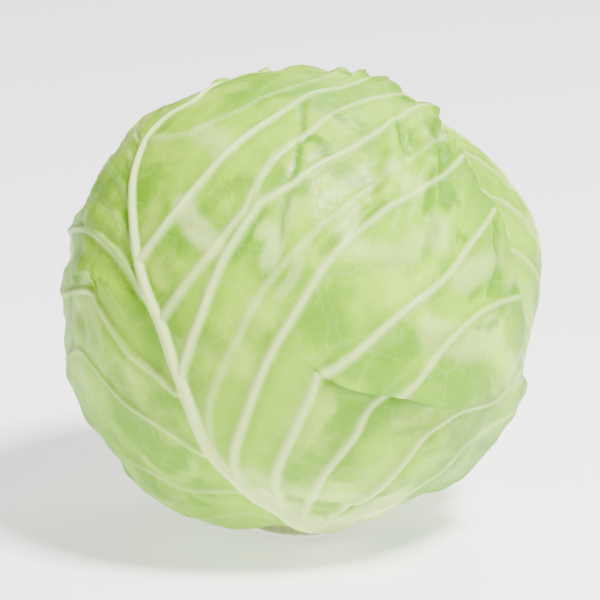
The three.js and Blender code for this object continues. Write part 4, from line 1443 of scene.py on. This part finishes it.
FRONT_SKIN = LeafFinish(
    name="front_leaf_skin",
    blade=(0.29, 0.57, 0.0),
    deep_green_and_foot_shade=(0.15, 0.36, 0.0),
    pale=(0.55, 0.79, 0.07),
    vein=(0.72, 0.88, 0.30),
)
WRAPPER_SKIN = LeafFinish(
    name="wrapper_leaf_skin",
    blade=(0.30, 0.58, 0.0),
    deep_green_and_foot_shade=(0.16, 0.37, 0.0),
    pale=(0.55, 0.79, 0.09),
    vein=(0.72, 0.88, 0.32),
)
HEART_SKIN = PlainFinish("heart_skin", colour=(0.68, 0.78, 0.42), mottle=(0.55, 0.7, 0.3), roughness=0.45)
STUMP_SKIN = PlainFinish("stump_skin", colour=(0.72, 0.72, 0.46), mottle=(0.55, 0.55, 0.3), roughness=0.75)


def place_piece(thing: bpy.types.Object, node: str, material: bpy.types.Material) -> None:
    """Dresses a piece, and lets it stand for the node of its name."""
    thing.data.materials.append(material)
    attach(thing, "root")
    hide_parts(node)
    LOG.info("%s: %d vertices, %d faces", node, len(thing.data.vertices), len(thing.data.polygons))


@dataclass(frozen=True)
class Wrappers:
    """The wrapper leaves, from the outermost to the innermost."""

    leaves: tuple[Leaf, ...]

    def build(self) -> None:
        """Builds every leaf under the ones that cover it."""
        front_skin, wrapper_skin = FRONT_SKIN.material(), WRAPPER_SKIN.material()
        for i, leaf in enumerate(self.leaves):
            detail = Detail.FRONT if i == 0 else Detail.WRAPPER
            thing = Blade(leaf, self.leaves[:i], detail).build()
            place_piece(thing, leaf.name, wrapper_skin if i else front_skin)


@dataclass(frozen=True)
class Heart:
    """The tight ball of inner leaves, with the edges of the outer ones of them winding over its crown.

    The edges come in and fade out between shares of the way from the crown to the foot.
    """

    leaves: tuple[Leaf, ...]
    turns: float = 3.0
    edge: float = 1.6
    edges_in: Point = (0.02, 0.12)
    edges_out: Point = (0.4, 0.6)
    subdivisions: int = 6

    def build(self) -> None:
        """Builds the heart under all the leaves, lowered by a spiral of edges round its crown."""
        ball = bmesh.new()
        bmesh.ops.create_icosphere(ball, subdivisions=self.subdivisions, radius=1.0)
        mesh = bpy.data.meshes.new("heart")
        ball.to_mesh(mesh)
        ball.free()
        co = np.empty(len(mesh.vertices) * 3, np.float32)
        mesh.vertices.foreach_get("co", co)
        towards = unit(co.reshape(-1, 3).astype(float))
        azimuth = np.arctan2(towards[:, 0], -towards[:, 1])
        crown = np.arccos(np.clip(towards[:, 2], -1, 1)) / math.pi
        winding = azimuth / (2 * math.pi) + crown * self.turns
        fade = smooth(*self.edges_in, crown) * (1 - smooth(*self.edges_out, crown))
        edge = self.edge * (winding - np.floor(winding)) * fade
        radius = pressed_radius(towards, self.leaves) - HEART_CLEARANCE - edge
        points = (towards * radius[:, None] + HEAD_CENTRE) * MM
        mesh.vertices.foreach_set("co", points.astype(np.float32).ravel())
        mesh.polygons.foreach_set("use_smooth", np.ones(len(mesh.polygons), bool))
        mesh.update()
        thing = bpy.data.objects.new("heart_skin", mesh)
        bpy.context.scene.collection.objects.link(thing)
        place_piece(thing, "heart", HEART_SKIN.material())


@dataclass(frozen=True)
class Stump:
    """The cut stem, a little wider at the cut."""

    leaves: tuple[Leaf, ...]
    sides: int = 96
    heart_gap: float = 1.2

    def build(self) -> None:
        """Builds the stump as a profile of (radius, height) turned round the head's axis."""
        tangent = math.sin(math.radians(RING_ANGLE))
        heart_foot = float(pressed_radius(direction(0, -90), self.leaves)) - HEART_CLEARANCE
        top = heart_foot + self.heart_gap
        lip = HEAD_CENTRE[2] - STUMP_RIM * 2
        inner = top * math.cos(math.radians(RING_ANGLE)) * tangent - STUMP_CLEARANCE
        profile = np.array([
            (STUMP_FACE_RADIUS * 0.5, 0),
            (STUMP_FACE_RADIUS, 0),
            (STUMP_FACE_RADIUS + STUMP_RIM * 0.7, STUMP_RIM * 0.3),
            (lip * tangent - STUMP_CLEARANCE - 0.6, STUMP_RIM),
            (inner - 1, HEAD_CENTRE[2] - top),
        ])  # fmt: skip
        angles = np.linspace(0, 2 * math.pi, self.sides, endpoint=False)
        ring = np.stack([np.cos(angles), np.sin(angles)], axis=-1)
        heights = np.tile(profile[:, 1:, None], (1, self.sides, 1))
        body = np.concatenate([profile[:, None, :1] * ring, heights], axis=2)
        ids = np.arange(body.shape[0] * self.sides).reshape(body.shape[:2])
        around = np.roll(ids, -1, axis=1)
        quads = np.stack([ids[:-1], around[:-1], around[1:], ids[1:]], axis=-1).reshape(-1, 4)
        foot, crown = ids.size, ids.size + 1
        under = np.stack([around[0], ids[0], np.full(self.sides, foot)], axis=-1)
        over = np.stack([ids[-1], around[-1], np.full(self.sides, crown)], axis=-1)
        ends = np.array([(0, 0, 0), (0, 0, HEAD_CENTRE[2] - top)])
        vertices = np.vstack([body.reshape(-1, 3), ends]) * MM
        thing = make_mesh("stump_skin", vertices, quads, np.vstack([under, over]), {})
        thing.data.polygons.foreach_set("use_smooth", np.zeros(len(thing.data.polygons), bool))
        place_piece(thing, "stump", STUMP_SKIN.material())


@dataclass(frozen=True)
class Lamp:
    """A square soft light: its place in metres, its size in metres, and its power in watts."""

    name: str
    place: tuple[float, float, float]
    size: float
    power: float

    def build(self) -> None:
        """Adds the light, facing the head."""
        data = bpy.data.lights.new(self.name, "AREA")
        data.size = self.size
        data.energy = self.power
        thing = bpy.data.objects.new(self.name, data)
        thing.location = self.place
        aim = Vector(HEAD_CENTRE * MM) - Vector(self.place)
        thing.rotation_euler = aim.to_track_quat("-Z", "Y").to_euler()
        bpy.context.scene.collection.objects.link(thing)


LAMPS = (
    Lamp("key", place=(0.62, -0.58, 1.5), size=0.35, power=98.0),
    Lamp("fill", place=(-1.1, -1.2, 0.9), size=0.7, power=3.0),
    Lamp("back", place=(0.5, 1.2, 1.3), size=0.8, power=18.0),
)


@dataclass(frozen=True)
class Studio:
    """The pale floor, the soft lights and the camera."""

    floor_size: float = 8.0
    sky_strength: float = 0.22
    floor_glow: float = 1.0
    near_clip: float = 0.05

    def build(self) -> None:
        """Sets up the stage."""
        bpy.ops.mesh.primitive_plane_add(size=self.floor_size)
        floor = bpy.context.object
        floor.name = "floor"
        floor.data.materials.append(self.floor_white())
        world = bpy.data.worlds.new("studio")
        bpy.context.scene.world = world
        world.use_nodes = True
        sky = world.node_tree.nodes["Background"]
        sky.inputs["Color"].default_value = (1.0, 1.0, 1.0, 1.0)
        sky.inputs["Strength"].default_value = self.sky_strength
        for lamp in LAMPS:
            lamp.build()
        self.camera()

    def floor_white(self) -> bpy.types.Material:
        """Builds the floor's white, which glows a little as a lit photo table does."""
        material = bpy.data.materials.new("floor_white")
        material.use_nodes = True
        tree = NodeTree(material.node_tree)
        shader = tree.new("ShaderNodeBsdfPrincipled")
        tree.set(shader.inputs["Base Color"], (0.92, 0.92, 0.92, 1.0))
        tree.set(shader.inputs["Roughness"], 0.95)
        tree.set(shader.inputs["Specular IOR Level"], 0.0)
        tree.set(shader.inputs["Emission Color"], (1.0, 1.0, 1.0, 1.0))
        tree.set(shader.inputs["Emission Strength"], self.floor_glow)
        tree.finish(shader)
        return material

    def camera(self) -> None:
        """Adds the camera where the picture was taken from."""
        data = bpy.data.cameras.new("camera")
        camera = bpy.data.objects.new("camera", data)
        towards = direction(0, EYE_ELEVATION)
        camera.location = Vector((HEAD_CENTRE + towards * EYE_DISTANCE) * MM)
        camera.rotation_euler = Vector(-towards).to_track_quat("-Z", "Y").to_euler()
        half = PICTURE_MIDDLE / OUTLINE_RADIUS * math.tan(math.asin(HEAD_RADIUS / EYE_DISTANCE))
        data.angle = 2 * math.atan(half)
        data.clip_start = self.near_clip
        bpy.context.scene.collection.objects.link(camera)
        bpy.context.scene.camera = camera


def main() -> None:
    """Builds the head and its studio."""
    logging.basicConfig(level=logging.INFO)
    leaves = (front_leaf(), *(pattern.leaf() for pattern in PATTERNS))
    Wrappers(leaves).build()
    Heart(leaves).build()
    Stump(leaves).build()
    Studio().build()


if __name__ == "__main__":
    main()
